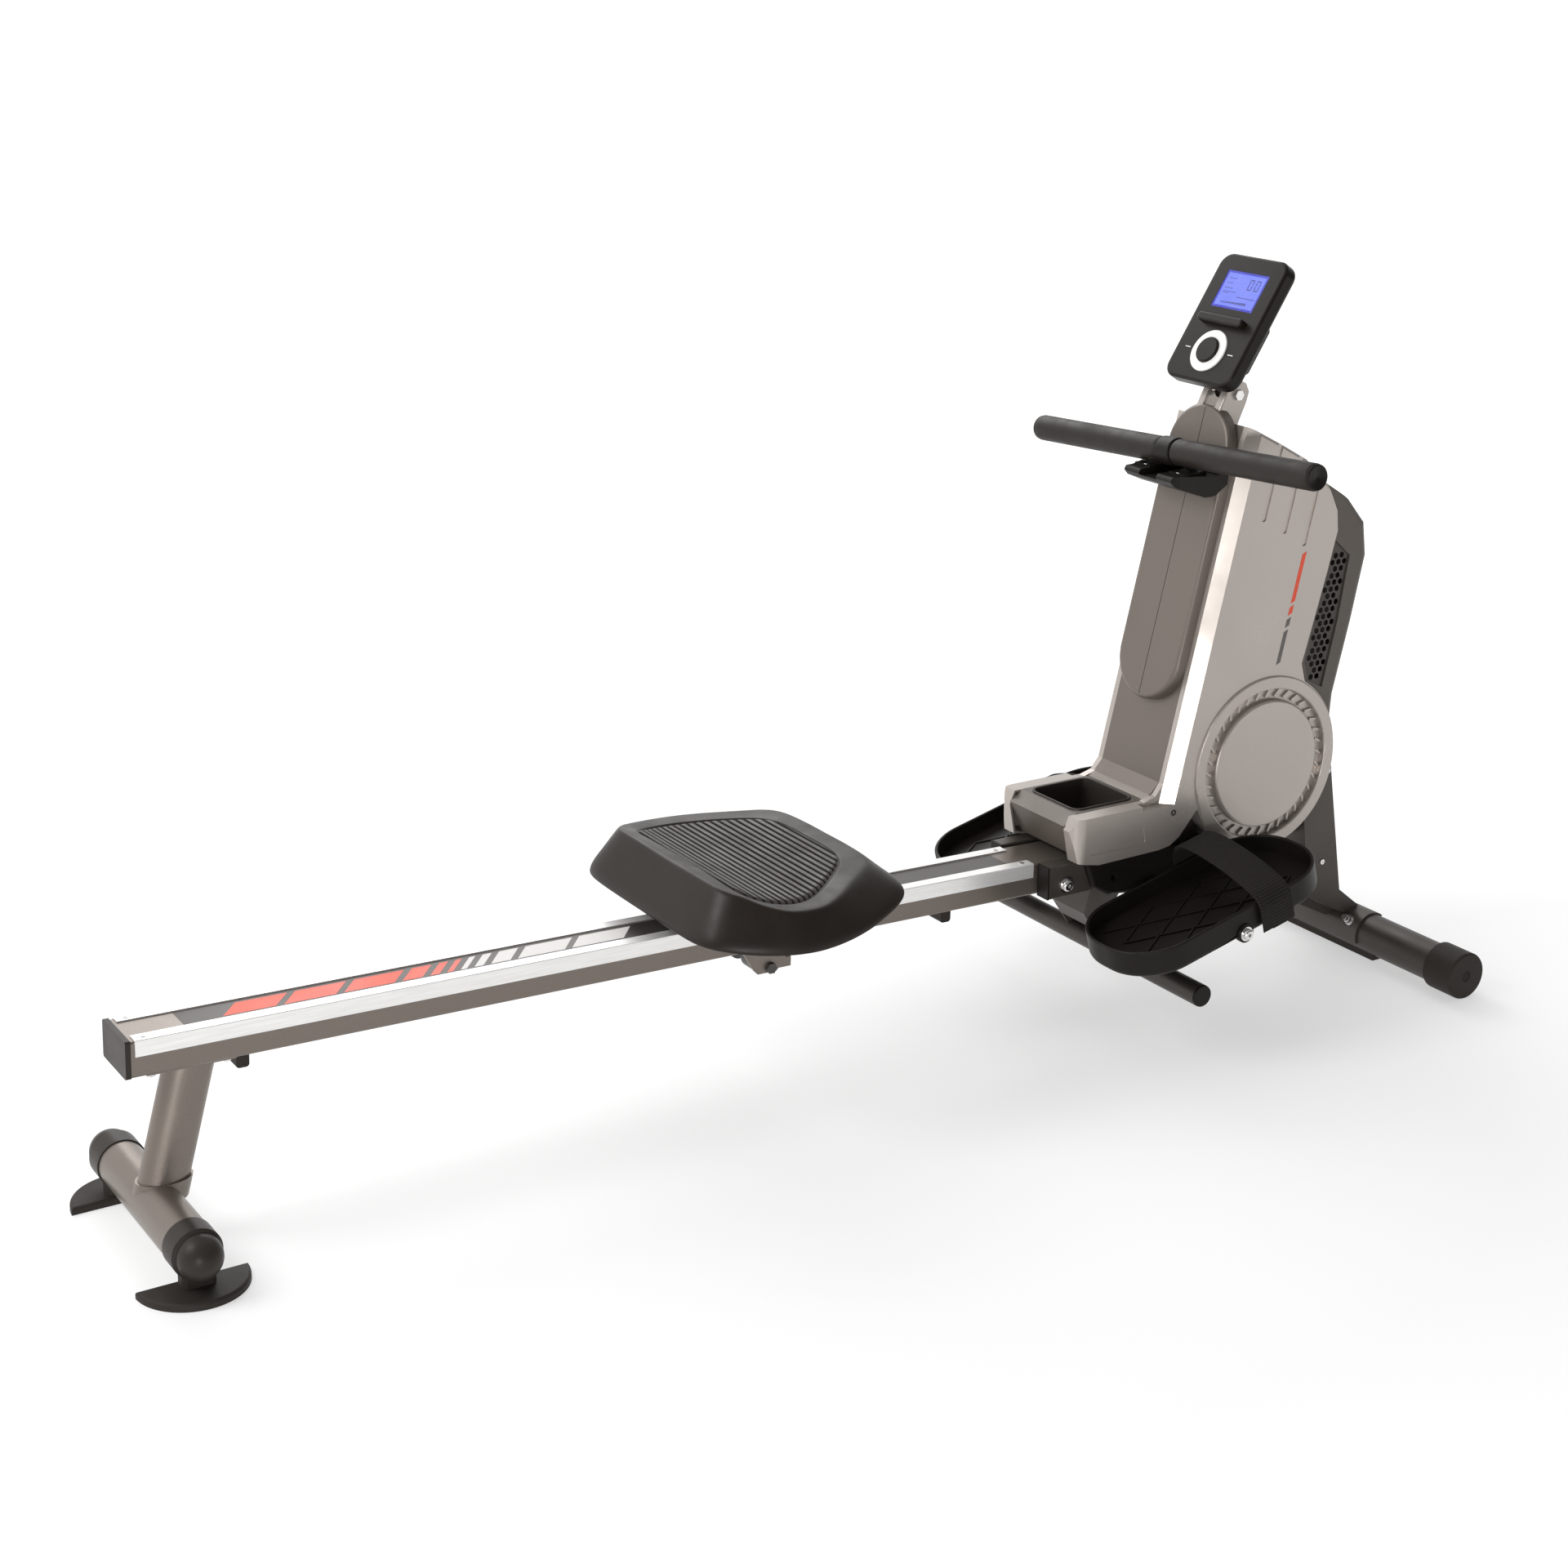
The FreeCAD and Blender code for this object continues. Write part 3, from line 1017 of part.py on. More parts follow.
def foam_grips():
    """Foam sleeve on each half of the bar, and the disc that closes its outer end."""
    grip = tube_y(GRIP_X, GRIP_Z, GRIP_R, 11.05, 15.0, GRIP_HALF - 3.0)
    grip = soften(grip, 1.5, lambda e: e.Length > 100)
    disc = cyl_y(GRIP_X, GRIP_Z, GRIP_R - 0.8, GRIP_HALF - 2.9, GRIP_HALF)
    disc = soften(disc, 1.5, lambda e: e.CenterOfMass.y > GRIP_HALF - 0.1)
    end = fuse(disc, cyl_y(GRIP_X, GRIP_Z, 9.4, GRIP_HALF - 20, GRIP_HALF - 2.5))
    return Part.makeCompound([on_handle(half) for piece in (grip, end) for half in (piece, mirrored(piece))])


def handle_clamp():
    """Block at the middle of the bar with the lug that holds the strap."""
    ring = tube_y(GRIP_X, GRIP_Z, GRIP_R + 1.4, 11.05, -14.5, 14.5)
    ring = soften(ring, 2.0, lambda e: e.Length > 110)
    lug = box(GRIP_X + 14, GRIP_X + STRAP_LUG, -11, 11, GRIP_Z - 4.5, GRIP_Z + 4.5)
    return fuse(on_handle(ring), lug.cut(cyl_y(GRIP_X, GRIP_Z, 14.0, -20, 20)))


# ---------------------------------------------------------------- console
def on_console(shape):
    """From face coordinates (X up the face, Y across, Z out of the face) to the machine."""
    copy = shape.copy()
    copy.rotate(V(0, 0, 0), V(0, 1, 0), -CONSOLE_LEAN)
    copy.translate(V(CONSOLE_X, 0, CONSOLE_Z))
    return copy


def rounded_plate(x0, x1, half, z0, z1, radius):
    return soften(box(x0, x1, -half, half, z0, z1), radius, lambda e: runs_along(e, V(0, 0, 1)))


SCREEN = (110.0, 166.0, 41.0)      # up the face, and half width
DIAL_S = 46.0
DIAL_R = 31.0
HUB_R = 19.0


def console_case():
    """Front half of the console with its screen window, device ledge and dial recess."""
    half = CONSOLE_W / 2
    case = rounded_plate(0, CONSOLE_H, half, -13.0, 0, 20.0)
    case = soften(case, 4.0, lambda e: abs(e.CenterOfMass.z) < 0.05)
    case = case.cut(box(SCREEN[0], SCREEN[1], -SCREEN[2], SCREEN[2], -1.6, 1))
    ledge = rounded_plate(84, 96, 44, -1, 11, 5.0)
    ledge = soften(ledge, 2.5, lambda e: e.CenterOfMass.z > 10.9)
    case = fuse(case, ledge)
    case = case.cut(Part.makeCylinder(DIAL_R + 0.4, 4, V(DIAL_S, 0, -2.5)))
    return on_console(case.cut(Part.makeCylinder(9.0, 12, V(DIAL_S, 0, -11))))


def console_back():
    """Rear half with the battery pod and the hinge neck."""
    half = CONSOLE_W / 2
    back = rounded_plate(0, CONSOLE_H, half, -CONSOLE_T, -13.05, 20.0)
    back = soften(back, 8.0, lambda e: abs(e.CenterOfMass.z + CONSOLE_T) < 0.05)
    pod = box(37, 112, -41, 41, -50, -CONSOLE_T + 1)
    pod = soften(pod, 8.0, lambda e: runs_along(e, V(0, 0, 1)) or abs(e.CenterOfMass.z + 50) < 0.05)
    s, depth = hinge_on_console()
    barrel = Part.makeCylinder(9.5, 23.0, V(s, -11.5, -depth), V(0, 1, 0))
    neck_points = [(s - 3, -depth + 9), (s + 6, -depth - 7.5), (60, -40), (40, -26), (34, -30)]
    corners = [V(x, -11.5, z) for x, z in neck_points]
    neck = Part.Face(Part.makePolygon(corners + [corners[0]])).extrude(V(0, 23, 0))
    bore = Part.makeCylinder(4.05, 40, V(s, -20, -depth), V(0, 1, 0))
    return on_console(fuse(back, pod, barrel, neck).cut(bore))


def hinge_on_console():
    """Hinge centre in face coordinates: distance up the face and depth behind it."""
    a = math.radians(CONSOLE_LEAN)
    dx, dz = HINGE_X - CONSOLE_X, HINGE_Z - CONSOLE_Z
    return dx * math.cos(a) + dz * math.sin(a), dx * math.sin(a) - dz * math.cos(a)


def console_screen():
    return on_console(box(SCREEN[0] + 0.1, SCREEN[1] - 0.1, -SCREEN[2] + 0.1, SCREEN[2] - 0.1, -1.6, -0.5))


def dial_ring():
    """White jog ring that turns round the centre button."""
    ring = Part.makeCylinder(DIAL_R, 4.6, V(DIAL_S, 0, -2.4))
    ring = soften(ring, 1.5, lambda e: e.CenterOfMass.z > 2.1)
    hub = Part.makeCylinder(8.9, 8.0, V(DIAL_S, 0, -10.4))
    ring = fuse(ring, hub).cut(Part.makeCylinder(HUB_R + 0.1, 5, V(DIAL_S, 0, -0.8)))
    return on_console(ring)


def dial_button():
    button = Part.makeCylinder(HUB_R - 0.3, 5.0, V(DIAL_S, 0, 1.0))
    return on_console(soften(button, 2.0, lambda e: e.CenterOfMass.z > 5.9))


def console_bracket():
    """Folded clevis on top of the mast; its web is notched for the console's neck."""
    side = [(1525, 804), (1525, 831), (1542, 865), (1550, 871), (1560, 872), (1571, 867), (1577, 855), (1573, 841),
            (1556, 804), (1576, 804), (1576, 800.2), (1525, 800.2)]
    body = prism_y(side, -24.6, 24.6)
    pocket = [(1529, 804), (1529, 829), (1546, 862), (1556, 890), (1600, 890), (1600, 804)]
    body = body.cut(prism_y(pocket, -20.8, 20.8))
    body = body.cut(box(1500, 1560, -12.6, 12.6, 836, 880))
    body = soften(body, 2.0, lambda e: abs(abs(e.CenterOfMass.y) - 24.6) < 0.05 and e.CenterOfMass.x < 1540)
    return body.cut(cyl_y(HINGE_X, HINGE_Z, 4.05, -40, 40))


def console_bolt():
    """Hinge bolt of the console: hexagon head on the right, nut on the left."""
    shank = cyl_y(HINGE_X, HINGE_Z, 4.0, -28.0, 28.0)
    head = hexagon_y(HINGE_X, HINGE_Z, 13.0, -29.5, -24.8)
    nut = hexagon_y(HINGE_X, HINGE_Z, 13.0, 24.8, 29.5)
    return fuse(shank, head, nut)


# ---------------------------------------------------------------- pedals
def on_pedal(shape):
    copy = turned(shape, 0, 0, PEDAL_TILT)
    copy.translate(V(PEDAL_X, PEDAL_Y, PEDAL_Z))
    return copy


def foot_slab(grow, z0, z1):
    a, b = PEDAL_LEN + grow, PEDAL_HALF + grow
    slab = box(-a, a, -b, b, z0, z1)
    return slab.makeFillet(b - 9.0, [e for e in slab.Edges if runs_along(e, V(0, 0, 1))])


RIM_TOP = 33.0
SOLE_TOP = 9.0
SOLE_LOW = -6.0


def pedal():
    """Foot dish with a rim all round, herringbone ribs and the axle tunnel (left side)."""
    dish = foot_slab(0, SOLE_LOW, RIM_TOP)
    dish = soften(dish, 9.0, lambda e: abs(e.CenterOfMass.z - SOLE_LOW) < 0.05)
    dish = dish.cut(foot_slab(-5.0, SOLE_TOP, RIM_TOP + 5))
    dish = soften(dish, 2.0, lambda e: abs(e.CenterOfMass.z - RIM_TOP) < 0.05)
    hollow = foot_slab(-11.0, SOLE_LOW - 5, SOLE_TOP - 5)
    tunnel = box(-12, 12, -100, 100, SOLE_LOW - 10, SOLE_TOP)
    dish = dish.cut(hollow.cut(tunnel))
    ribs = [rib for rib in herringbone()]
    dish = fuse(dish, *ribs)
    slot = fuse(box(-55, -10, PEDAL_HALF - 8, PEDAL_HALF + 3, -2, 0.5))
    slot = turned(slot, -32, 0, 8)
    dish = dish.cut(slot)
    lug = cyl_y(0, 0, 13.0, PEDAL_HALF - 5, PEDAL_HALF + 2.5)
    dish = fuse(dish, lug)
    return on_pedal(dish.cut(cyl_y(0, 0, 6.06, -100, 100)))


def herringbone():
    """Raised ribs in a zigzag across the sole."""
    ribs = []
    length, pitch_x, pitch_y = 46.0, 43.0, 22.0
    for i in range(-4, 4):
        for j in range(-3, 4):
            slant = 28 if (i + j) % 2 else -28
            x, y = (i + 0.5) * pitch_x, j * pitch_y
            if abs(x) > PEDAL_LEN - 44 or math.hypot(max(abs(x) - 85, 0), y) > PEDAL_HALF - 22:
                continue
            rib = box(-length / 2, length / 2, -1.4, 1.4, SOLE_TOP - 0.5, SOLE_TOP + 2.0)
            rib.rotate(V(0, 0, 0), V(0, 0, 1), slant)
            rib.translate(V(x, y, 0))
            ribs.append(rib)
    return ribs


def ribbon(points, thickness, x0, x1):
    """Band of even thickness along a path of (y, z) points."""
    upper, lower = [], []
    for i, (y, z) in enumerate(points):
        y0, z0 = points[max(i - 1, 0)]
        y1, z1 = points[min(i + 1, len(points) - 1)]
        length = math.hypot(y1 - y0, z1 - z0)
        ny, nz = -(z1 - z0) / length, (y1 - y0) / length
        upper.append(V(x0, y + ny * thickness, z + nz * thickness))
        lower.append(V(x0, y, z))
    outline = lower + upper[::-1]
    return Part.Face(Part.makePolygon(outline + [outline[0]])).extrude(V(x1 - x0, 0, 0))


STRAP_PATH = ((-84.5, 4), (-84.5, 44), (-78, 58), (-62, 66), (-30, 66), (20, 58), (60, 46), (80, 37),
              (86.5, 27), (87, 8), (87, -12))


def foot_strap():
    return on_pedal(ribbon(STRAP_PATH, 2.6, 26.0, 82.0))


def pedal_axle():
    return cyl_y(PEDAL_X, PEDAL_Z, 6.0, -PEDAL_Y - PEDAL_HALF - 3, PEDAL_Y + PEDAL_HALF + 3)


def pedal_bolts():
    """Washer and domed nut on each end of the pedal axle."""
    y = PEDAL_Y + PEDAL_HALF + 3
    washer = cyl_y(PEDAL_X, PEDAL_Z, 10.0, y, y + 1.5)
    nut = cyl_y(PEDAL_X, PEDAL_Z, 7.6, y + 1.5, y + 7.5)
    nut = soften(nut, 3.4, lambda e: e.CenterOfMass.y > y + 7.4)
    socket = hexagon_y(PEDAL_X, PEDAL_Z, 5.0, y + 5.0, y + 9.0)
    return pair(fuse(washer, nut).cut(socket))


def lock_pin():
    """Pull pin with a knob; it passes through the left ear into the slot in the rail's side."""
    x = PIVOT_X + LOCK_ARC
    pin = cyl_y(x, PIVOT_Z, LOCK_R, 33.0, 72.0)
    collar = cyl_y(x, PIVOT_Z, 7.0, 65.8, 70.0)
    knob = cyl_y(x, PIVOT_Z, 9.0, 70.0, 86.0)
    knob = soften(knob, 2.5, lambda e: e.Length > 50)
    return fuse(pin, collar, knob)


def frame_bolts():
    """Every bright bolt of the frame: saddle bolts, console hinge bolt and pedal bolts."""
    return Part.makeCompound([saddle_bolts(), console_bolt(), pedal_bolts()])


# ---------------------------------------------------------------- every piece, one file each
def build():
    os.makedirs(OUT, exist_ok=True)
    seat_rollers = roller_places()
    low_u, low_w = low_roller_place()
    right_pedal, right_strap = mirrored(pedal()), mirrored(foot_strap())
    left_shell, left_disc = housing_shell(), side_cover()
    wheel = front_wheel()
    pieces = {
        "main_frame": main_frame(), "front_stabilizer": front_stabilizer(), "frame_bolts": frame_bolts(),
        "floor_strip": floor_strip(), "tube_plugs": tube_plugs(),
        "rest_bar": rest_bar(), "pedal_axle": pedal_axle(), "lower_shell": lower_shell(), "housing_left": left_shell,
        "housing_right": mirrored(left_shell), "front_cover": front_cover(), "spine_cover": spine_cover(),
        "back_shell": back_shell(), "mesh_grilles": mesh_grilles(), "side_cover_left": left_disc,
        "side_cover_right": mirrored(left_disc), "tray": tray(), "console_bracket": console_bracket(),
        "handle_cradle": handle_cradle(), "housing_screws": housing_screws(),
        "machine_axles": machine_axles(), "recoil_case": recoil_case(), "drive_belt": drive_belt(),
        "pull_strap": pull_strap(), "fold_bolt": fold_bolt(), "lock_pin": lock_pin(),
        "wheel_left": mirrored(wheel), "wheel_right": wheel, "flywheel": flywheel(),
        "flywheel_bearings": flywheel_bearings(), "drive_pulley": drive_pulley(), "strap_drum": strap_drum(),
        "guide_roller": guide_roller(), "brake_arm": Part.makeCompound([brake_arm(), brake_magnets()]),
        "handle_bar": handle_bar(), "foam_grips": foam_grips(),
        "handle_clamp": handle_clamp(), "rail_tube": rail_tube(), "rail_strips": rail_strips(),
        "rail_screws": Part.makeCompound([strip_screws(), leg_bolts()]), "rail_end_cap": rail_end_cap(), "rail_stops": rail_stops(),
        "rear_leg": rear_leg(), "rear_stabilizer": rear_stabilizer(),
        "rear_caps": rear_caps(), "rear_feet": rear_feet(), "seat_pad": seat_pad(),
        "seat_carriage": seat_carriage(),
        "seat_roller_rear": roller_set(*seat_rollers[0], ROLLER_R, 24.0, 37.0),
        "seat_roller_front": roller_set(*seat_rollers[1], ROLLER_R, 24.0, 37.0),
        "seat_roller_low": roller_set(low_u, low_w, LOW_ROLLER_R, 12.0, 34.0),
        "console_case": console_case(), "console_back": console_back(), "console_screen": console_screen(),
        "dial_ring": dial_ring(), "dial_button": dial_button(),
        "pedal_left": mirrored(right_pedal), "pedal_right": right_pedal,
        "foot_strap_left": mirrored(right_strap), "foot_strap_right": right_strap,
    }
    for name, shape in pieces.items():
        save(name, shape)


if __name__ == "__main__":
    build()
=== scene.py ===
"""Looks of the rowing machine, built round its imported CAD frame."""
import math
import bpy
import bmesh
from mathutils import Matrix, Vector


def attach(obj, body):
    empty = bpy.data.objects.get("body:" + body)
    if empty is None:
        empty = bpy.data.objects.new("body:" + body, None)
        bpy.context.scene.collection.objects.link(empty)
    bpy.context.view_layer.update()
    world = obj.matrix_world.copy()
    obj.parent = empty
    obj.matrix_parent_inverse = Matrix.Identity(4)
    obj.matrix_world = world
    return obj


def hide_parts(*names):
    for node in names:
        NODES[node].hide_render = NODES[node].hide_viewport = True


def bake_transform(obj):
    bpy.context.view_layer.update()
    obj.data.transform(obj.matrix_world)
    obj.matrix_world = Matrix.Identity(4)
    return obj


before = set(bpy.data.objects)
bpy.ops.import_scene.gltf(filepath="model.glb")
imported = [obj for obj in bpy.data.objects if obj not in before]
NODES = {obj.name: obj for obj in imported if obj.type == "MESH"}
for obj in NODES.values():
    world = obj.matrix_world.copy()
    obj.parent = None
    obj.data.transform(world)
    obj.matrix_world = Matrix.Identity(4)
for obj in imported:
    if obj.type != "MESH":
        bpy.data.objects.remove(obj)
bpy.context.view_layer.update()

MM = 0.001                  # one millimetre, in metres
TRAY_RIM = 311.0            # height of the tray's rim, mm
ORIGIN_X = 896.2            # station of the row frame's origin, mm from the rear stabilizer's axis


def at(x, y, z):
    """Point in the row frame from a station in mm."""
    return Vector(((x - ORIGIN_X) * MM, y * MM, z * MM))


# ---------------------------------------------------------------- materials
def put(tree, kind, **values):
    """New shader node of this kind with its properties set."""
    node = tree.nodes.new(kind)
    for key, value in values.items():
        setattr(node, key, value)
    return node


def noise(tree, vector, scale, detail=3.0, roughness=0.55):
    """Noise texture read at vector; scale is in waves to the metre."""
    node = put(tree, "ShaderNodeTexNoise")
    node.inputs["Scale"].default_value = scale
    node.inputs["Detail"].default_value = detail
    node.inputs["Roughness"].default_value = roughness
    tree.links.new(vector, node.inputs["Vector"])
    return node.outputs["Fac"]


def spread(tree, value, low, high, from_low=0.3, from_high=0.7):
    """Value mapped from its usual range to low and high."""
    node = put(tree, "ShaderNodeMapRange")
    node.inputs["From Min"].default_value = from_low
    node.inputs["From Max"].default_value = from_high
    node.inputs["To Min"].default_value = low
    node.inputs["To Max"].default_value = high
    tree.links.new(value, node.inputs["Value"])
    return node.outputs["Result"]


def mix(tree, factor, a, b):
    """Blend of two colours or colour sockets."""
    node = put(tree, "ShaderNodeMix", data_type="RGBA")
    tree.links.new(factor, node.inputs[0])
    for socket, value in ((node.inputs[6], a), (node.inputs[7], b)):
        if isinstance(value, bpy.types.NodeSocket):
            tree.links.new(value, socket)
        else:
            socket.default_value = (*value, 1.0)
    return node.outputs[2]


def scaled(color, k):
    """Colour made k times as bright, at most white."""
    return tuple(min(1.0, c * k) for c in color)


ROUGH_TONE = 0.08           # how far a finish's roughness wanders either side of its value
GRAIN_REACH = 2.2           # how much further the grain's tone goes than its number says


def material(name, color, rough=0.5, metallic=0.0, tone=0.07, cloud=9.0, grain=1400.0,
             grain_tone=0.06, bump=0.2, relief=0.00003, stretch=(1, 1, 1), **shader):
    """Base for every finish: cloudy and grainy tone, uneven roughness and a fine relief."""
    m = bpy.data.materials.new(name)
    m.use_nodes = True
    tree = m.node_tree
    bsdf = tree.nodes["Principled BSDF"]
    place = put(tree, "ShaderNodeTexCoord").outputs["Object"]
    mapping = put(tree, "ShaderNodeMapping")
    mapping.inputs["Scale"].default_value = stretch
    tree.links.new(place, mapping.inputs["Vector"])
    place = mapping.outputs["Vector"]
    cloudy = noise(tree, place, cloud, 4.0)
    fine = noise(tree, place, grain, 2.0)
    base = mix(tree, spread(tree, cloudy, 0.0, 1.0), scaled(color, 1 - tone), scaled(color, 1 + tone))
    grain_step = GRAIN_REACH * grain_tone
    speck = mix(tree, spread(tree, fine, 0.0, 1.0), scaled(color, 1 - grain_step),
                scaled(color, 1 + grain_step))
    blend = put(tree, "ShaderNodeMix", data_type="RGBA")
    blend.inputs[0].default_value = 0.5
    tree.links.new(base, blend.inputs[6])
    tree.links.new(speck, blend.inputs[7])
    tree.links.new(blend.outputs[2], bsdf.inputs["Base Color"])
    uneven = spread(tree, cloudy, rough - ROUGH_TONE, rough + ROUGH_TONE)
    tree.links.new(uneven, bsdf.inputs["Roughness"])
    bsdf.inputs["Metallic"].default_value = metallic
    relief_node = put(tree, "ShaderNodeBump")
    relief_node.inputs["Strength"].default_value = bump
    relief_node.inputs["Distance"].default_value = relief
    tree.links.new(fine, relief_node.inputs["Height"])
    tree.links.new(relief_node.outputs["Normal"], bsdf.inputs["Normal"])
    for key, value in shader.items():
        bsdf.inputs[key.replace("_", " ")].default_value = value
    return m


WAVE_SCALE = 0.314          # a wave texture's scale for one band to each unit of its map


def woven(name, color, pitch):
    """Webbing: crossed yarns, pitch mm apart on the band's own map."""
    m = material(name, color, 0.85, tone=0.18, cloud=60, grain=3000, grain_tone=0.15, bump=0.0,
                 Sheen_Weight=0.06, Specular_IOR_Level=0.2)
    tree = m.node_tree
    bsdf = tree.nodes["Principled BSDF"]
    uv = put(tree, "ShaderNodeUVMap", uv_map="band").outputs["UV"]
    yarns = []
    for direction, scale in (("X", 1.0), ("Y", 0.62)):
        wave = put(tree, "ShaderNodeTexWave", wave_type="BANDS", bands_direction=direction)
        wave.inputs["Scale"].default_value = scale * WAVE_SCALE / pitch
        wave.inputs["Distortion"].default_value = 0.6
        wave.inputs["Detail"].default_value = 1.0
        tree.links.new(uv, wave.inputs["Vector"])
        yarns.append(wave.outputs["Fac"])
    cross = put(tree, "ShaderNodeMath", operation="MULTIPLY")
    tree.links.new(yarns[0], cross.inputs[0])
    tree.links.new(yarns[1], cross.inputs[1])
    # painted shade and highlight of the weave: darker in the gaps between the yarns, lighter where they cross,
    # following the same relief as the bump
    weave_shade_and_light = mix(tree, cross.outputs[0], scaled(color, 0.45), scaled(color, 1.9))
    tree.links.new(weave_shade_and_light, bsdf.inputs["Base Color"])
    relief = put(tree, "ShaderNodeBump")
    relief.inputs["Strength"].default_value = 0.9
    relief.inputs["Distance"].default_value = 0.0004
    tree.links.new(cross.outputs[0], relief.inputs["Height"])
    tree.links.new(relief.outputs["Normal"], bsdf.inputs["Normal"])
    return m


def glowing(name, color, strength):
    """Backlit display: its brightness falls a little towards one corner."""
    m = material(name, scaled(color, 0.3), 0.25, tone=0.05, cloud=30, bump=0.0)
    tree = m.node_tree
    place = put(tree, "ShaderNodeTexCoord").outputs["Object"]
    lit = mix(tree, noise(tree, place, 25.0), scaled(color, 0.9), scaled(color, 1.1))
    bsdf = tree.nodes["Principled BSDF"]
    tree.links.new(lit, bsdf.inputs["Emission Color"])
    bsdf.inputs["Emission Strength"].default_value = strength
    return m


LOW = {"Specular_IOR_Level": 0.18}         # dull moulded plastic
FRAME_PAINT = material("frame_paint", (0.055, 0.047, 0.040), 0.44, 0.45, grain=2200, grain_tone=0.14, bump=0.4)
POST_PAINT = material("post_paint", (0.075, 0.066, 0.057), 0.46, 0.45, grain=2200, grain_tone=0.14, bump=0.4)
PEWTER = material("pewter_paint", (0.195, 0.166, 0.144), 0.36, 0.65, grain=2400, grain_tone=0.2, bump=0.45)
SILVER = material("silver_shell", (0.43, 0.388, 0.356), 0.33, 0.55, tone=0.05, grain=2400, grain_tone=0.08,
                  bump=0.25)
COVER = material("cover_grey", (0.155, 0.131, 0.112), 0.42, 0.40, tone=0.05, grain=2300, grain_tone=0.1,
                 bump=0.3)
TRAY_GREY = material("tray_grey", (0.115, 0.097, 0.083), 0.44, 0.25, grain=2200, grain_tone=0.1, bump=0.3)
BACK = material("back_grey", (0.085, 0.071, 0.060), 0.45, 0.2, grain=2000, grain_tone=0.1, bump=0.35)
BLACK = material("black_plastic", (0.0095, 0.0075, 0.0062), 0.46, grain=1500, grain_tone=0.2, bump=0.5, **LOW)
SHEEN_BLACK = material("console_black", (0.0100, 0.0076, 0.0060), 0.32, grain=1800, grain_tone=0.12, bump=0.3,
                       **LOW)
SKIN = material("seat_skin", (0.0150, 0.0106, 0.0076), 0.42, tone=0.12, cloud=18, grain=1100,
                grain_tone=0.22, bump=0.55, relief=0.00006, Specular_IOR_Level=0.24)
# painted light: the seat's skin made about twice as light on the ribbed panel of its top, where light falls
PANEL_LIT_SKIN = material("seat_panel_painted_light", (0.034, 0.0272, 0.0222), 0.42, tone=0.08, cloud=18, grain=1100,
                      grain_tone=0.2, bump=0.5, relief=0.00006, Specular_IOR_Level=0.3)
# painted shade: a darker copy of the seat's skin, laid on the groove faces where shade falls
GROOVE_SHADE = material("seat_groove_painted_shade", (0.0065, 0.0050, 0.0040), 0.7, tone=0.1, cloud=30, grain=1100, bump=0.3,
                  Specular_IOR_Level=0.1)
FOAM = material("grip_foam", (0.0150, 0.0115, 0.0090), 0.52, tone=0.08, cloud=40, grain=1700,
                grain_tone=0.22, bump=0.6, relief=0.00005, Specular_IOR_Level=0.25)
CAP = material("cap_plastic", (0.030, 0.0245, 0.0207), 0.40, grain=1500, grain_tone=0.14, bump=0.5, **LOW)
RUBBER = material("tyre_rubber", (0.028, 0.0232, 0.0195), 0.55, grain=1200, grain_tone=0.15, bump=0.5, **LOW)
ALUMINIUM = material("aluminium_strip", (0.88, 0.87, 0.86), 0.30, 0.55, tone=0.03, cloud=5, grain=500,
                     grain_tone=0.05, bump=0.15, stretch=(0.03, 1, 1))
BRIGHT = material("bright_steel", (0.74, 0.73, 0.72), 0.18, 1.0, tone=0.05, grain=900, bump=0.1)
STEEL = material("bare_steel", (0.46, 0.45, 0.44), 0.34, 1.0, grain=900, stretch=(1, 0.2, 1), bump=0.15)
CAST = material("cast_rim", (0.16, 0.155, 0.15), 0.5, 0.8, grain=600, grain_tone=0.15, bump=0.4)
WHITE = material("white_plastic", (0.80, 0.79, 0.78), 0.28, tone=0.02, grain=1500, grain_tone=0.02, bump=0.1)
ROLLER = material("roller", (0.05, 0.047, 0.045), 0.4, grain=1200, bump=0.3)
WEB = woven("foot_webbing", (0.0150, 0.0125, 0.0104), 2.8)
PULL_WEB = woven("pull_webbing", (0.16, 0.15, 0.14), 1.2)
THREAD = material("thread", (0.010, 0.0085, 0.0075), 0.8, grain=3000, grain_tone=0.3, bump=0.6)
LCD = glowing("lcd", (0.16, 0.215, 1.0), 0.62)
LCD_EDGE = glowing("lcd_edge", (0.02, 0.025, 0.55), 0.55)
GRILLE = material("grille", (0.048, 0.040, 0.034), 0.42, 0.3, grain=2000, bump=0.3)
LCD_INK = material("lcd_ink", (0.012, 0.014, 0.12), 0.3, grain=2000, bump=0.05)
DECAL_DARK = material("decal_dark", (0.038, 0.031, 0.026), 0.38, 0.3, cloud=6, tone=0.2, grain=2200,
                      bump=0.2)
DECAL_WHITE = material("decal_white", (0.66, 0.64, 0.62), 0.40, tone=0.04, grain=2200, bump=0.1)
DECAL_ORANGE = material("decal_orange", (0.72, 0.062, 0.016), 0.40, tone=0.06, grain=2200, bump=0.1)
DECAL_GREY = material("decal_grey", (0.10, 0.092, 0.085), 0.40, tone=0.06, grain=2200, bump=0.1)

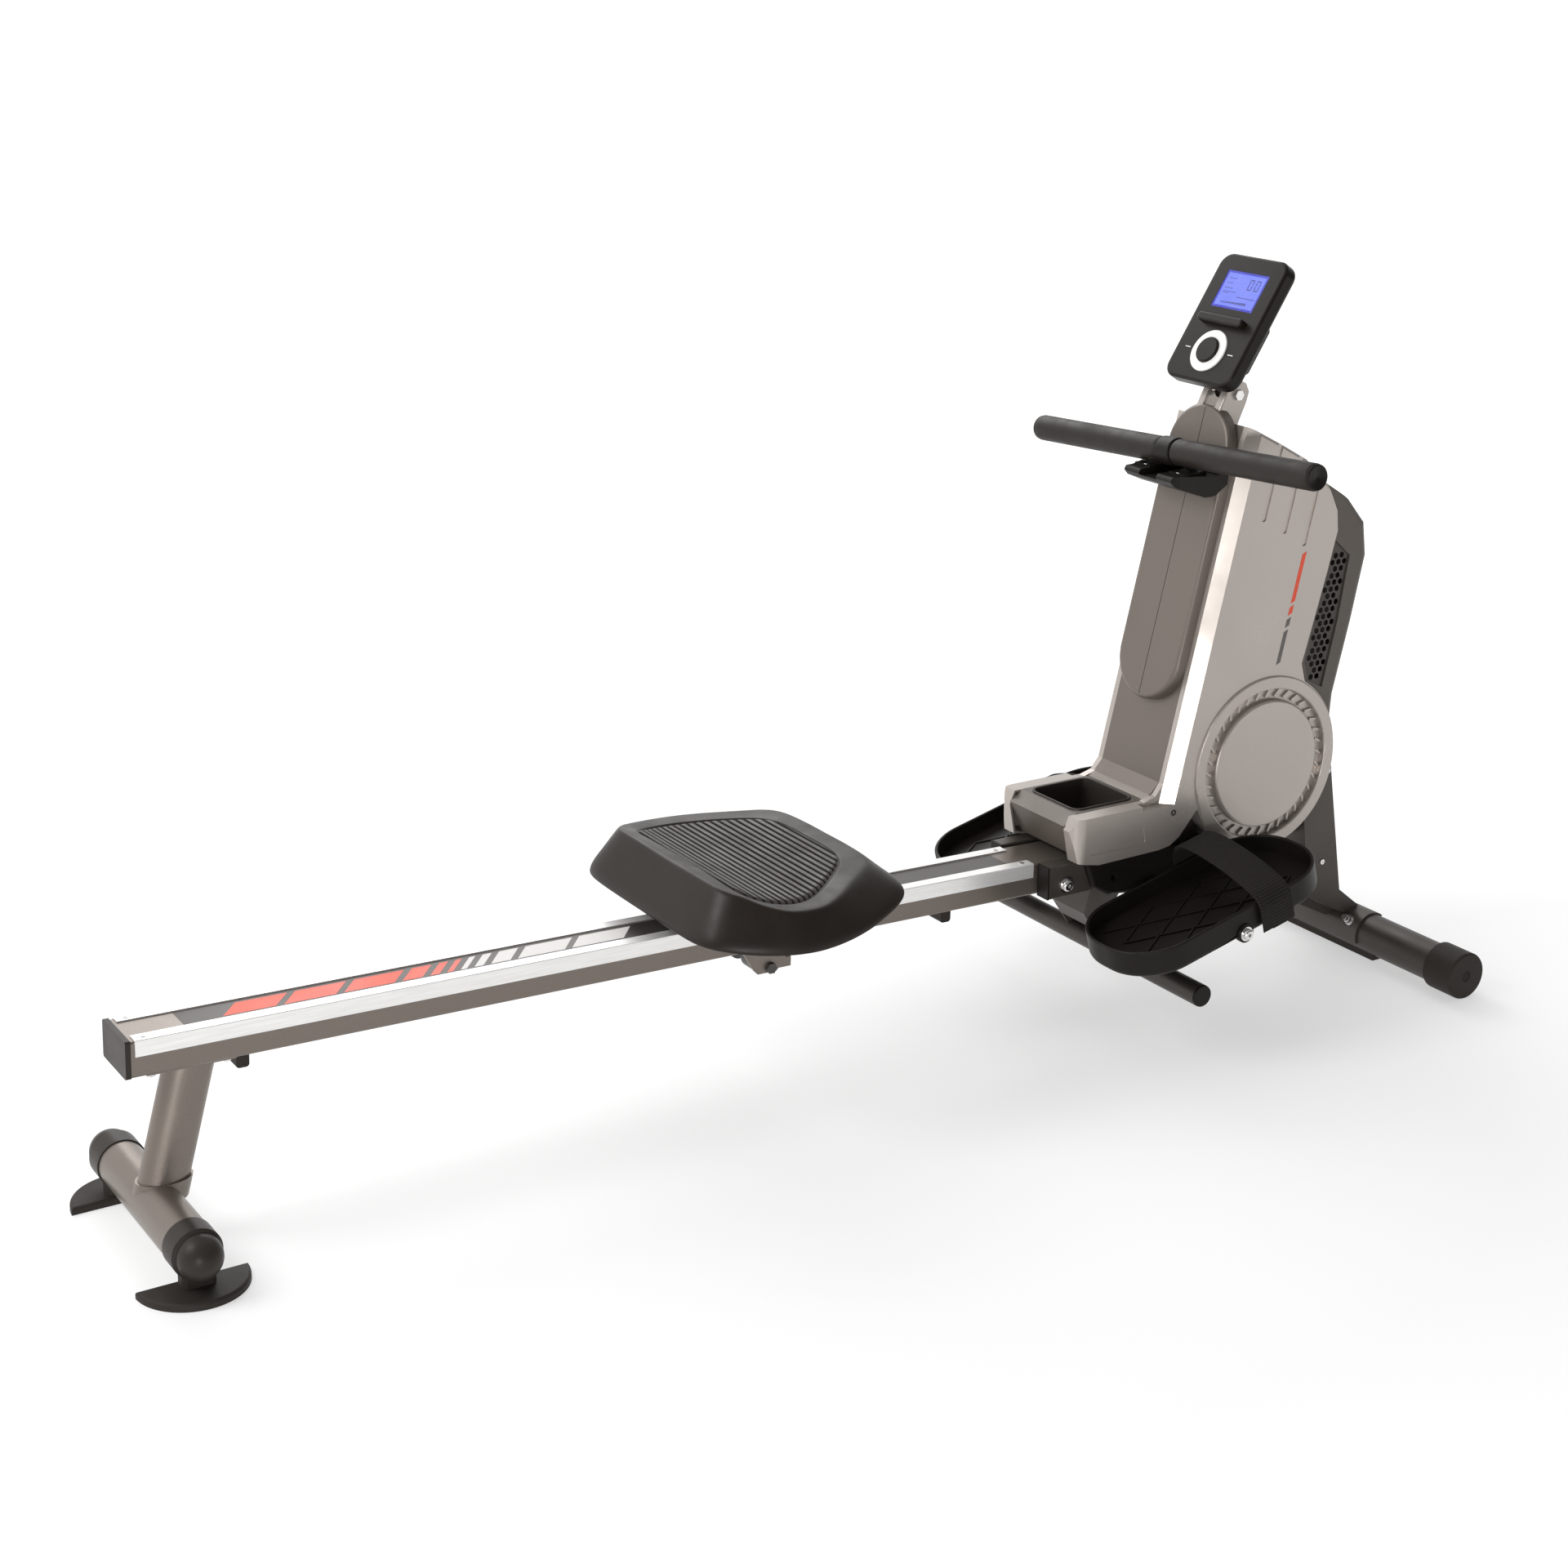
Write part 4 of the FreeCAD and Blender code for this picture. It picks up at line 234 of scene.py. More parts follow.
# which CAD nodes wear each finish
LOOKS = (
    (POST_PAINT, "main_frame"),
    (FRAME_PAINT, "front_stabilizer", "rest_bar"),
    (PEWTER, "rail_tube", "rear_leg", "rear_stabilizer", "seat_carriage"),
    (SILVER, "housing_left", "housing_right", "side_cover_left", "side_cover_right", "console_bracket"),
    (COVER, "front_cover", "spine_cover"),
    (TRAY_GREY, "tray"),
    (BACK, "back_shell"),
    (GRILLE, "mesh_grilles"),
    (BLACK, "lower_shell", "handle_cradle", "tube_plugs", "pedal_left", "pedal_right", "handle_clamp",
     "recoil_case", "drive_pulley", "strap_drum", "guide_roller", "lock_pin"),
    (SHEEN_BLACK, "console_case", "console_back", "dial_button"),
    (CAP, "rear_caps", "rail_end_cap"),
    (RUBBER, "rear_feet", "wheel_left", "wheel_right", "rail_stops", "floor_strip", "drive_belt"),
    (ROLLER, "seat_roller_rear", "seat_roller_front", "seat_roller_low"),
    (ALUMINIUM, "rail_strips"),
    (BRIGHT, "frame_bolts", "fold_bolt", "housing_screws", "rail_screws"),
    (STEEL, "pedal_axle", "machine_axles", "flywheel_bearings", "handle_bar", "brake_arm"),
    (CAST, "flywheel"),
    (WHITE, "dial_ring"),
    (LCD, "console_screen"),
    (SKIN, "seat_pad"),
    (FOAM, "foam_grips"),
    (WEB, "foot_strap_left", "foot_strap_right"),
    (PULL_WEB, "pull_strap"),
)
for look, *names in LOOKS:
    for name in names:
        NODES[name].data.materials.clear()
        NODES[name].data.materials.append(look)


# ---------------------------------------------------------------- mesh helpers
def smooth_path(points, steps, closed=False):
    """Catmull-Rom curve through points, with steps pieces to each gap."""
    n = len(points)
    pts = [Vector(p) for p in points]
    made = []
    for i in range(n if closed else n - 1):
        if closed:
            a, b, c, d = (pts[(i + k) % n] for k in (-1, 0, 1, 2))
        else:
            a, b, c, d = (pts[min(max(i + k, 0), n - 1)] for k in (-1, 0, 1, 2))
        for j in range(steps):
            t = j / steps
            made.append(0.5 * (2 * b + (c - a) * t + (2 * a - 5 * b + 4 * c - d) * t * t
                               + (3 * b - a - 3 * c + d) * t * t * t))
    if not closed:
        made.append(pts[-1])
    return made


def even(points, count):
    """The same open line with count points, evenly spaced."""
    lengths = [0.0]
    for a, b in zip(points, points[1:]):
        lengths.append(lengths[-1] + (b - a).length)
    made = []
    k = 0
    for i in range(count):
        want = lengths[-1] * i / (count - 1)
        while k < len(points) - 2 and lengths[k + 1] < want:
            k += 1
        gap = lengths[k + 1] - lengths[k] or 1.0
        made.append(points[k].lerp(points[k + 1], (want - lengths[k]) / gap))
    return made


def piece(name, verts, faces, look, body, smooth=True, uvs=None):
    """Named mesh piece that rides on body, or on none if no body is given."""
    mesh = bpy.data.meshes.new(name)
    mesh.from_pydata([tuple(v) for v in verts], [], faces)
    mesh.update()
    if uvs:
        layer = mesh.uv_layers.new(name="band")
        for loop in mesh.loops:
            layer.data[loop.index].uv = uvs[loop.vertex_index]
    bm = bmesh.new()
    bm.from_mesh(mesh)
    bmesh.ops.recalc_face_normals(bm, faces=bm.faces)
    bm.to_mesh(mesh)
    bm.free()
    for p in mesh.polygons:
        p.use_smooth = smooth
    mesh.materials.append(look)
    made = bpy.data.objects.new(name, mesh)
    bpy.context.scene.collection.objects.link(made)
    if body:
        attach(made, body)
    return made


def modifier(obj, kind, **values):
    """New modifier of this kind with its properties set."""
    made = obj.modifiers.new(kind.lower(), kind)
    for key, value in values.items():
        setattr(made, key, value)
    return made


def stacked(loops, close_first=True, close_last=True):
    """Vertices and faces of closed loops joined one to the next."""
    n = len(loops[0])
    verts = [v for loop in loops for v in loop]
    faces = []
    for k in range(len(loops) - 1):
        for i in range(n):
            j = (i + 1) % n
            faces.append((k * n + i, k * n + j, (k + 1) * n + j, (k + 1) * n + i))
    if close_first:
        faces.append(tuple(range(n)))
    if close_last:
        faces.append(tuple(range((len(loops) - 1) * n, len(loops) * n)))
    return verts, faces


# ---------------------------------------------------------------- seat
HALF_POINTS = 72            # points on each half outline
SEAT_MIDDLE = 790.0         # station of the seat's middle, mm
# half outlines from back to front, (station, half width, height) in mm:
# the lower edge, the crest and the border of the ribbed inset
RIM = [(640.6, 0, 279), (641, 70, 279), (642, 125, 280), (648, 152, 280.5), (662, 169, 279),
       (687.7, 187.5, 276), (720, 203, 274), (750, 212, 273.5), (780, 213.5, 273.5), (815, 210, 276),
       (850, 202, 280.5), (880, 191, 286), (908, 179, 293), (927, 165, 299), (936, 143, 302),
       (938, 95, 302.5), (938, 0, 303)]
RIDGE = [(677, 0, 343), (677, 75, 344), (679, 118, 343), (687, 139, 340), (699, 152, 336.5),
         (716, 171, 329), (740, 187, 322.5), (766, 192, 320), (795, 189, 319.8), (825, 174, 322.5),
         (850, 156, 325.5), (873, 139, 328), (893, 124, 330), (906, 108, 331), (912, 85, 331.5),
         (914, 45, 332), (914, 0, 332)]
BORDER = [(700, 0, 338.5), (700, 70, 338), (701, 112, 336.5), (707, 131, 332.5), (719, 145, 327.5),
          (735, 156.5, 323.2), (757, 163.5, 320.2), (778, 163.5, 319.6), (798, 156.5, 320.6),
          (819, 144, 323.2), (840, 128, 326), (860, 111, 328.6), (873, 97, 330.2), (882, 80, 331.4),
          (887, 62, 331.8), (889, 30, 332), (889, 0, 332)]


def ring(half_line, inset=0.0, lift=0.0):
    """Closed loop from a half outline given in mm, mirrored about the machine's middle."""
    middle = Vector((SEAT_MIDDLE, 0, 0))
    line = even(smooth_path(half_line, 8), HALF_POINTS)
    moved = []
    for p in line:
        out = Vector((p.x - middle.x, p.y, 0))
        k = 1 - inset / max(out.length, 1)
        moved.append(Vector((middle.x + out.x * k, out.y * k, p.z + lift)))
    other = [Vector((p.x, -p.y, p.z)) for p in moved[-2:0:-1]]
    return [at(*p) for p in moved + other]


def between(a, b, t, lift=0.0, out=0.0):
    """Loop a share t of the way from a to b, moved up by lift and outwards by out, in mm."""
    made = []
    centre = at(SEAT_MIDDLE, 0, 0)
    for p, q in zip(a, b):
        m = p.lerp(q, t)
        away = Vector((m.x - centre.x, m.y, 0)).normalized()
        made.append(m + away * out * MM + Vector((0, 0, lift * MM)))
    return made


def build_seat():
    """Seat's skin, from under its rim over the crest to the pit that the ribbed panel lies in."""
    rim, ridge, border = ring(RIM), ring(RIDGE), ring(BORDER)
    under = [ring(RIM, inset, lift) for inset, lift in ((60, 9), (9, 8), (6, 1.0), (2.5, -0.8))]
    side = [between(rim, ridge, t, lift, 0.5)
            for t, lift in ((0.08, 5.0), (0.24, 5.0), (0.5, 3.5), (0.76, 2.5), (0.92, 1.5))]
    crown = [between(ridge, border, t, lift) for t, lift in ((0.2, 0.4), (0.55, 0.2), (0.93, 0.0))]
    pit = [ring(BORDER, inset, lift)
           for inset, lift in ((1.0, -1.6), (3.0, -2.4), (8, -2.6), (10, -14), (25, -18))]
    verts, faces = stacked(under + [rim] + side + [ridge] + crown + [border] + pit)
    seat = piece("seat_saddle", verts, faces, SKIN, None)
    modifier(seat, "SUBSURF", levels=1, render_levels=1)
    return seat


def panel_height(x):
    """Height of the panel along the seat, mm: it dips like a saddle."""
    line = [(700, 338.3), (708, 334.5), (719, 328.5), (735, 324), (757, 320.8), (778, 320),
            (798, 321), (819, 323.6), (840, 326.2), (860, 328.8), (873, 330.4), (889, 332)]
    for (x0, z0), (x1, z1) in zip(line, line[1:]):
        if x <= x1:
            t = (x - x0) / (x1 - x0)
            return z0 + (z1 - z0) * t
    return line[-1][1]


def panel_width(x):
    """Half width of the panel at x, mm."""
    line = [(p.x, p.y) for p in smooth_path([(a, b, 0) for a, b, _ in BORDER], 8)]
    best = 0.0
    for (x0, y0), (x1, y1) in zip(line, line[1:]):
        if min(x0, x1) <= x <= max(x0, x1) and abs(x1 - x0) > 1e-6:
            best = max(best, y0 + (y1 - y0) * (x - x0) / (x1 - x0))
    return best - PANEL_INSET


PANEL_START, PANEL_END = 703.4, 885.8      # stations of its rear and front edge
PANEL_INSET = 3.4           # gap between its side and the border
RIB_PITCH, RIB_HEIGHT = 8.9, 2.1
RIB_ROWS = 10               # rows of points to each rib
RIB_COLUMNS = 40
GROOVE_SHADE_SHARE = 0.16         # share of a rib's pitch, on each side of it, painted dark as shade in the groove


def build_panel():
    """Ribbed inset of the seat; its edge turns down into the groove round it."""
    rows = int((PANEL_END - PANEL_START) / RIB_PITCH * RIB_ROWS)
    verts, faces, in_groove_shade = [], [], []
    for i in range(rows + 1):
        x = PANEL_START + (PANEL_END - PANEL_START) * i / rows
        width = panel_width(x)
        phase = (i / RIB_ROWS) % 1.0
        rib = RIB_HEIGHT * max(0.0, 1 - abs(2 * phase - 1) ** 2.6)
        end = min(i, rows - i) / 2.0
        for j in range(RIB_COLUMNS + 1):
            y = -1 + 2 * j / RIB_COLUMNS
            y = math.copysign(abs(y) ** 0.85, y) * width
            edge = min(1.0, (width - abs(y)) / 4.0, end)
            z = panel_height(x) - 1.9 + rib * edge + 0.5 * min(1.0, edge * 2)
            if j in (0, RIB_COLUMNS) or i in (0, rows):
                z -= 2.2
            verts.append(at(x, y, z))
    stride = RIB_COLUMNS + 1
    for i in range(rows):
        for j in range(RIB_COLUMNS):
            a = i * stride + j
            faces.append((a, a + 1, a + stride + 1, a + stride))
            phase = ((i + 0.5) / RIB_ROWS) % 1.0
            in_groove_shade.append(min(phase, 1 - phase) < GROOVE_SHADE_SHARE)
    panel = piece("seat_panel", verts, faces, PANEL_LIT_SKIN, "seat")
    # faces at the bottom of each groove get the darker skin: painted shade
    panel.data.materials.append(GROOVE_SHADE)
    for polygon, low in zip(panel.data.polygons, in_groove_shade):
        polygon.material_index = 1 if low else 0
    return panel


seat = build_seat()
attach(seat, "seat")
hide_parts("seat_pad")
build_panel()


# ---------------------------------------------------------------- handle
GRIP_X, GRIP_Z, GRIP_ROLL = 1465.3, 779.6, -3.4      # axis of the grips, mm and degrees
SEGMENTS = 72               # points round a turned piece


def lathe(name, profile, centre, axis, look, body):
    """Turned piece: profile gives (distance along the axis, radius) in mm."""
    axis = Vector(axis).normalized()
    side = axis.cross(Vector((0, 0, 1)))
    if side.length < 0.1:
        side = axis.cross(Vector((1, 0, 0)))
    side.normalize()
    other = axis.cross(side)
    loops = []
    for along, radius in profile:
        middle = centre + axis * along * MM
        loops.append([middle + (side * math.cos(a) + other * math.sin(a)) * radius * MM
                      for a in (2 * math.pi * k / SEGMENTS for k in range(SEGMENTS))])
    verts, faces = stacked(loops)
    return piece(name, verts, faces, look, body)


# (distance from the middle, radius) in mm
SLEEVE = [(15.4, 11.2), (15.4, 16.6), (16.0, 17.6), (17.4, 18.2), (24, 18.2), (90, 18.15), (180, 18.2),
          (274, 18.2), (280.5, 18.2), (282.2, 17.8), (283.0, 17.0), (283.0, 11.2)]
END_CAP = [(266, 9.3), (283.1, 9.3), (283.1, 16.6), (283.6, 17.3), (285.0, 17.3), (285.8, 16.8),
           (286.1, 16.0), (286.1, 14.6), (285.5, 14.2), (285.5, 3.2), (285.0, 2.6), (284.4, 0.2)]


def build_grips():
    """Two foam sleeves and their end caps."""
    centre = at(GRIP_X, 0, GRIP_Z)
    tilt = math.radians(GRIP_ROLL)
    for side, sign in (("left", 1), ("right", -1)):
        axis = Vector((0, math.cos(tilt), math.sin(tilt))) * sign
        sleeve = lathe("grip_foam_" + side, SLEEVE, centre, axis, FOAM, "handle")
        lathe("grip_end_" + side, END_CAP, centre, axis, BLACK, "handle")
    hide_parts("foam_grips")


build_grips()


# ---------------------------------------------------------------- bands
def band(name, line, across, width, thickness, look, body, taper=0):
    """Webbing along a line of points in metres, its edges thinner and rounded.

    across is its width's direction, and taper the number of points over which its end narrows.
    """
    across = Vector(across).normalized()
    half, t = width / 2, thickness / 2
    rise = [(-half, 0), (-half + 0.5, t * 0.7), (-half + 1.6, t), (-half + 3.2, t * 0.82),
            (-half * 0.5, t * 0.9), (0, t * 0.92)]
    section = rise + [(-u, v) for u, v in rise[-2::-1]]
    section = section + [(u, -v) for u, v in section[-2:0:-1]]
    loops, uvs = [], []
    run = 0.0
    for i, p in enumerate(line):
        before, after = line[max(i - 1, 0)], line[min(i + 1, len(line) - 1)]
        forward = (after - before).normalized()
        out = across.cross(forward).normalized()
        if i:
            run += (p - line[i - 1]).length / MM
        shrink = 1.0
        if taper:
            left = (len(line) - 1 - i) / taper
            if left < 1:
                shrink = max(0.45, math.sqrt(max(0.0, 1 - (1 - left) ** 2)))
        loops.append([p + across * u * shrink * MM + out * v * MM for u, v in section])
        uvs += [(u, run) for u, v in section]
    verts, faces = stacked(loops)
    return piece(name, verts, faces, look, body, uvs=uvs)


PEDAL_X, PEDAL_Y, PEDAL_Z, PEDAL_TILT = 1412.0, 175.0, 180.0, 14.0
# (across the foot plate, above it) in mm, from its inner edge over the foot to its outer wall
STRAP_PATH = ((-84.5, 6), (-84.5, 30), (-83.5, 48), (-78, 59.5), (-62, 67), (-30, 67.5), (20, 59.5),
              (60, 47.5), (80, 38), (87.5, 27), (88.6, 8), (88.6, -10))
PATH_STEPS = 10             # pieces to each gap of the path
TAIL_FROM = 3               # point of the path where the upper layer starts
STRAP_X, STRAP_W = 54.0, 56.0
FOOT_STRAP_T = 1.5


def on_pedal(x, y, z, sign):
    """From the foot plate's own frame to the row frame; sign is 1 on the left."""
    a = math.radians(PEDAL_TILT)
    return at(PEDAL_X + x * math.cos(a) - z * math.sin(a), (PEDAL_Y + y) * sign,
              PEDAL_Z + x * math.sin(a) + z * math.cos(a))


def strap_run(points, lift, sign):
    """Line of the strap over the foot, lift mm off the given path."""
    line = [(p.x, p.y) for p in smooth_path([(y, z, 0) for y, z in points], PATH_STEPS)]
    raised = []
    for i, (y, z) in enumerate(line):
        y0, z0 = line[max(i - 1, 0)]
        y1, z1 = line[min(i + 1, len(line) - 1)]
        length = math.hypot(y1 - y0, z1 - z0) or 1.0
        raised.append(on_pedal(STRAP_X, y - (z1 - z0) / length * lift, z + (y1 - y0) / length * lift, sign))
    return raised


STITCH_HALF, STITCH_WIDE, STITCH_PROUD = 1.15, 0.42, 0.9     # mm
STITCHES = 13               # on each line of a stitched box
BOX_HALF = 21.0
# lines of a stitched box with a cross: (side across the strap, share along the box) at both ends
BOX_LINES = (((-1, 0.0), (1, 0.0)), ((-1, 1.0), (1, 1.0)), ((-1, 0.0), (-1, 1.0)),
             ((1, 0.0), (1, 1.0)), ((-1, 0.0), (1, 1.0)), ((1, 0.0), (-1, 1.0)))
# corners of one stitch: shares of its half length, its width and its height
STITCH = ((-1, 0, 0.0), (0, -1, 0.15), (1, 0, 0.0), (0, 1, 0.15), (0, 0, 0.4))


def build_stitches(name, rows, across, sign, body):
    """Stitched box with a cross, on the stretch of the strap that rows follows."""
    along = len(rows) - 1
    box_length = (rows[-1] - rows[0]).length
    verts, faces = [], []
    for (side0, v0), (side1, v1) in BOX_LINES:
        u0, u1 = side0 * BOX_HALF, side1 * BOX_HALF
        for k in range(STITCHES):
            t = (k + 0.5) / STITCHES
            u, v = u0 + (u1 - u0) * t, v0 + (v1 - v0) * t
            place = min(along - 1e-6, v * along)
            n = int(place)
            tangent = (rows[n + 1] - rows[n]).normalized()
            middle = rows[n].lerp(rows[n + 1], place - n) + across * u * MM
            heading = (across * (u1 - u0) * MM + tangent * (v1 - v0) * box_length).normalized()
            out = across.cross(tangent).normalized()
            wide = heading.cross(out).normalized()
            a = len(verts)
            for du, dv, dw in STITCH:
                verts.append(middle + (heading * du * STITCH_HALF + wide * dv * STITCH_WIDE
                                       + out * dw * STITCH_PROUD * sign) * MM)
            faces += [(a, a + 1, a + 4), (a + 1, a + 2, a + 4), (a + 2, a + 3, a + 4), (a + 3, a, a + 4),
                      (a + 3, a + 2, a + 1, a)]
    piece(name, verts, faces, THREAD, body, smooth=False)


def build_foot_strap(side, sign):
    """Strap of two layers over the foot, with a stitched box at the top and one on its tail."""
    body = "pedal_l" if sign > 0 else "pedal_r"
    across = (on_pedal(1, 0, 0, 1) - on_pedal(0, 0, 0, 1)).normalized()
    lower = band("strap_base_" + side, strap_run(STRAP_PATH, 0.9, sign), across, STRAP_W,
                 FOOT_STRAP_T, WEB, body)
    band("strap_tail_" + side, strap_run(STRAP_PATH[TAIL_FROM:], 2.4, sign), across, STRAP_W - 1.5,
         FOOT_STRAP_T, WEB, body, taper=9)
    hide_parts("foot_strap_left" if sign > 0 else "foot_strap_right")
    path = strap_run(STRAP_PATH, 3.3, sign)
    for tag, first, last in (("top", 31, 41), ("tail", 80, 96)):
        build_stitches("stitches_%s_%s" % (tag, side), path[first:last + 1], across, sign, body)


for side, sign in (("left", 1), ("right", -1)):
    build_foot_strap(side, sign)

GUIDE_X, GUIDE_Z, GUIDE_R = 1541.0, 767.5, 11.0
DRUM_X, DRUM_Z, DRUM_R = 1622.0, 560.0, 35.0
PULL_STRAP_W, STRAP_T, STRAP_GAP = 28.0, 1.6, 0.3    # its gap is to the roller and the drum
FREE_START = 1496.0         # station where it leaves the handle's lug
FREE_STEPS, ROLLER_STEPS = 24, 12
DRUM_POINTS, DRUM_STEP = 40, 6.5                     # points round the drum, and degrees between them


def build_pull_strap():
    """From the handle's lug over the guide roller and part of the way round the drum.
    """
    radius = GUIDE_R + STRAP_GAP + STRAP_T / 2
    line = [at(FREE_START + k * (GUIDE_X - FREE_START) / FREE_STEPS, 0, GRIP_Z) for k in range(FREE_STEPS + 1)]
    dx, dz = DRUM_X - GUIDE_X, DRUM_Z - GUIDE_Z
    wide = DRUM_R + STRAP_GAP + STRAP_T / 2
    heading = math.atan2(dz, dx)
    leave = heading + math.acos((radius - wide) / math.hypot(dx, dz))
    for k in range(1, ROLLER_STEPS + 1):
        a = math.radians(90) + (leave - math.radians(90)) * k / ROLLER_STEPS
        line.append(at(GUIDE_X + radius * math.cos(a), 0, GUIDE_Z + radius * math.sin(a)))
    for k in range(DRUM_POINTS):
        a = leave - math.radians(DRUM_STEP) * k
        line.append(at(DRUM_X + wide * math.cos(a), 0, DRUM_Z + wide * math.sin(a)))
    strap = band("pull_web", line, (0, 1, 0), PULL_STRAP_W, STRAP_T, PULL_WEB, None)
    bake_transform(strap)
    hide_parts("pull_strap")


build_pull_strap()


# ---------------------------------------------------------------- tray lip and painted shade
TRAY_X0, TRAY_X1, TRAY_Y, TRAY_FLOOR, TRAY_TOP = 1285.0, 1383.0, 50.0, 258.0, TRAY_RIM + 1.5
TRAY_CORNER, CORNER_STEPS = 13.0, 8
TRAY_SHEET_T = 0.5
FILLET, FILLET_STEPS = 5.0, 6              # between its walls and its floor


def rounded(inset, z):
    """Rounded rectangle inside the tray; a negative inset lies on its lip."""
    x0, x1, half = TRAY_X0 + inset, TRAY_X1 - inset, TRAY_Y - inset
    r = max(1.0, TRAY_CORNER - inset)
    loop = []
    for cx, cy, first in ((x1 - r, half - r, 0), (x0 + r, half - r, 90),
                          (x0 + r, -half + r, 180), (x1 - r, -half + r, 270)):
        for k in range(CORNER_STEPS + 1):
            a = math.radians(first + 90 * k / CORNER_STEPS)
            loop.append(at(cx + r * math.cos(a), cy + r * math.sin(a), z))
    return loop


def build_tray_lip_and_shade():
    """Smooth dark sheet in the tray: over its lip, down its walls and across its floor; dark plastic on the
    lip, painted shade on the walls and floor.
    """
    floor_z = TRAY_FLOOR + TRAY_SHEET_T
    loops = [rounded(inset, TRAY_TOP + lift)
             for inset, lift in ((-3.4, -1.7), (-3.4, -0.2), (-3.0, 0.35), (-0.8, 0.5), (0.1, 0.2),
                                 (0.5, -0.8))]
    for k in range(FILLET_STEPS + 1):
        a = math.radians(90 * k / FILLET_STEPS)
        loops.append(rounded(TRAY_SHEET_T + FILLET * (1 - math.cos(a)), floor_z + FILLET * (1 - math.sin(a))))
    loops.append(rounded(30, floor_z))
    verts, faces = stacked(loops, close_first=False)
    # dark sheet: the lip's own dark colour, and painted shade down the walls and across the floor
    piece("tray_lip_and_painted_shade", verts, faces, CAP, "frame")


build_tray_lip_and_shade()


# ---------------------------------------------------------------- printed marks, all generic
def slabs(name, outlines, normal, height, look, body):
    """One piece of thin plates on a surface: outlines in metres, raised by height mm."""
    up_by = Vector(normal).normalized() * height * MM
    verts, faces = [], []
    for corners in outlines:
        n, base = len(corners), len(verts)
        verts += list(corners) + [c + up_by for c in corners]
        faces += [tuple(range(base, base + n)), tuple(range(base + n, base + 2 * n))]
        for i in range(n):
            j = (i + 1) % n
            faces.append((base + i, base + j, base + n + j, base + n + i))
    return piece(name, verts, faces, look, body, smooth=False)


PIVOT_X, PIVOT_Z, RAIL_SLOPE, RAIL_TOP = 1261.4, 214.1, 1.363, 26.0
RAIL_SLANT = math.radians(RAIL_SLOPE)
RAIL_UP = (math.sin(RAIL_SLANT), 0, math.cos(RAIL_SLANT))
MARK_T = 0.12               # thickness of a printed film
DECAL_ENDS, DECAL_HALF = (40, 1195), 20.6
BAR_SLANT, BAR_HALF, BAR_GAP = 26, 15.5, 10
ORANGE_FROM, WHITE_FROM = 100, 398


def on_rail_top(station, y, lift=0.0):
    """Point on the rail's top face, lift mm above it."""
    u, w = (station - PIVOT_X) / math.cos(RAIL_SLANT), RAIL_TOP + lift
    return at(PIVOT_X + u * math.cos(RAIL_SLANT) + w * math.sin(RAIL_SLANT), y,
              PIVOT_Z - u * math.sin(RAIL_SLANT) + w * math.cos(RAIL_SLANT))


def bars(first, lengths):
    """Slanted bars along the rail, a BAR_GAP apart, from a list of lengths in mm."""
    made, x, shift = [], first, BAR_SLANT / 2
    for length in lengths:
        made.append([on_rail_top(x - shift, -BAR_HALF, 0.1), on_rail_top(x + length - shift, -BAR_HALF, 0.1),
                     on_rail_top(x + length + shift, BAR_HALF, 0.1), on_rail_top(x + shift, BAR_HALF, 0.1)])
        x += length + BAR_GAP
    return made


rear, front = DECAL_ENDS
slabs("rail_decal", [[on_rail_top(rear, -DECAL_HALF), on_rail_top(front, -DECAL_HALF),
                      on_rail_top(front, DECAL_HALF), on_rail_top(rear, DECAL_HALF)]],
      RAIL_UP, MARK_T, DECAL_DARK, "rail")
slabs("rail_marks_orange", bars(ORANGE_FROM, (64, 64, 64, 26, 12, 8)), RAIL_UP, MARK_T, DECAL_ORANGE,
      "rail")
slabs("rail_marks_white", bars(WHITE_FROM, (8, 12, 26, 64, 72)), RAIL_UP, MARK_T, DECAL_WHITE,
      "rail")

STRIPE_LOW, STRIPE_HIGH = Vector((1603.5, 0, 480)), Vector((1640.5, 0, 634))
STRIPE_Y, STRIPE_HALF, STRIPE_SLANT, STRIPE_T = 85.0, 3.4, 2.5, 0.15


def side_marks(sign, tag):
    """Stripe up the housing's side, grey and then orange, from shares of its length."""
    along = (STRIPE_HIGH - STRIPE_LOW).normalized()
    wide = Vector((along.z, 0, -along.x))
    corner = wide * STRIPE_HALF + along * STRIPE_SLANT
    for name, look, slot, parts in (
            ("grey", DECAL_GREY, "cover_grey", ((0.0, 0.30), (0.335, 0.41))),
            ("orange", DECAL_ORANGE, "frame_paint", ((0.445, 0.52), (0.555, 1.0)))):
        outlines = []
        for t0, t1 in parts:
            a, b = STRIPE_LOW.lerp(STRIPE_HIGH, t0), STRIPE_LOW.lerp(STRIPE_HIGH, t1)
            outlines.append([at(p.x, STRIPE_Y * sign, p.z)
                             for p in (a - corner, b - corner, b + corner, a + corner)])
        slabs("side_marks_%s_%s" % (name, tag), outlines, (0, sign, 0), STRIPE_T, look, "frame")


side_marks(1, "left")
side_marks(-1, "right")


# ---------------------------------------------------------------- console display
CONSOLE_X, CONSOLE_Z, CONSOLE_LEAN = 1498.2, 873.2, 57.2
lean = math.radians(CONSOLE_LEAN)
FACE_OUT = (-math.sin(lean), 0, math.cos(lean))


def on_face(s, y, z):
    """From the console's face (s up it, y across, z out of it) to the row frame."""
    return at(CONSOLE_X + s * math.cos(lean) - z * math.sin(lean), y,
              CONSOLE_Z + s * math.sin(lean) + z * math.cos(lean))


def face_boxes(rows, z):
    """Outlines on the console's face from rows of (low, high, left, right) in mm."""
    return [[on_face(s0, y0, z), on_face(s1, y0, z), on_face(s1, y1, z), on_face(s0, y1, z)]
            for s0, s1, y0, y1 in rows]


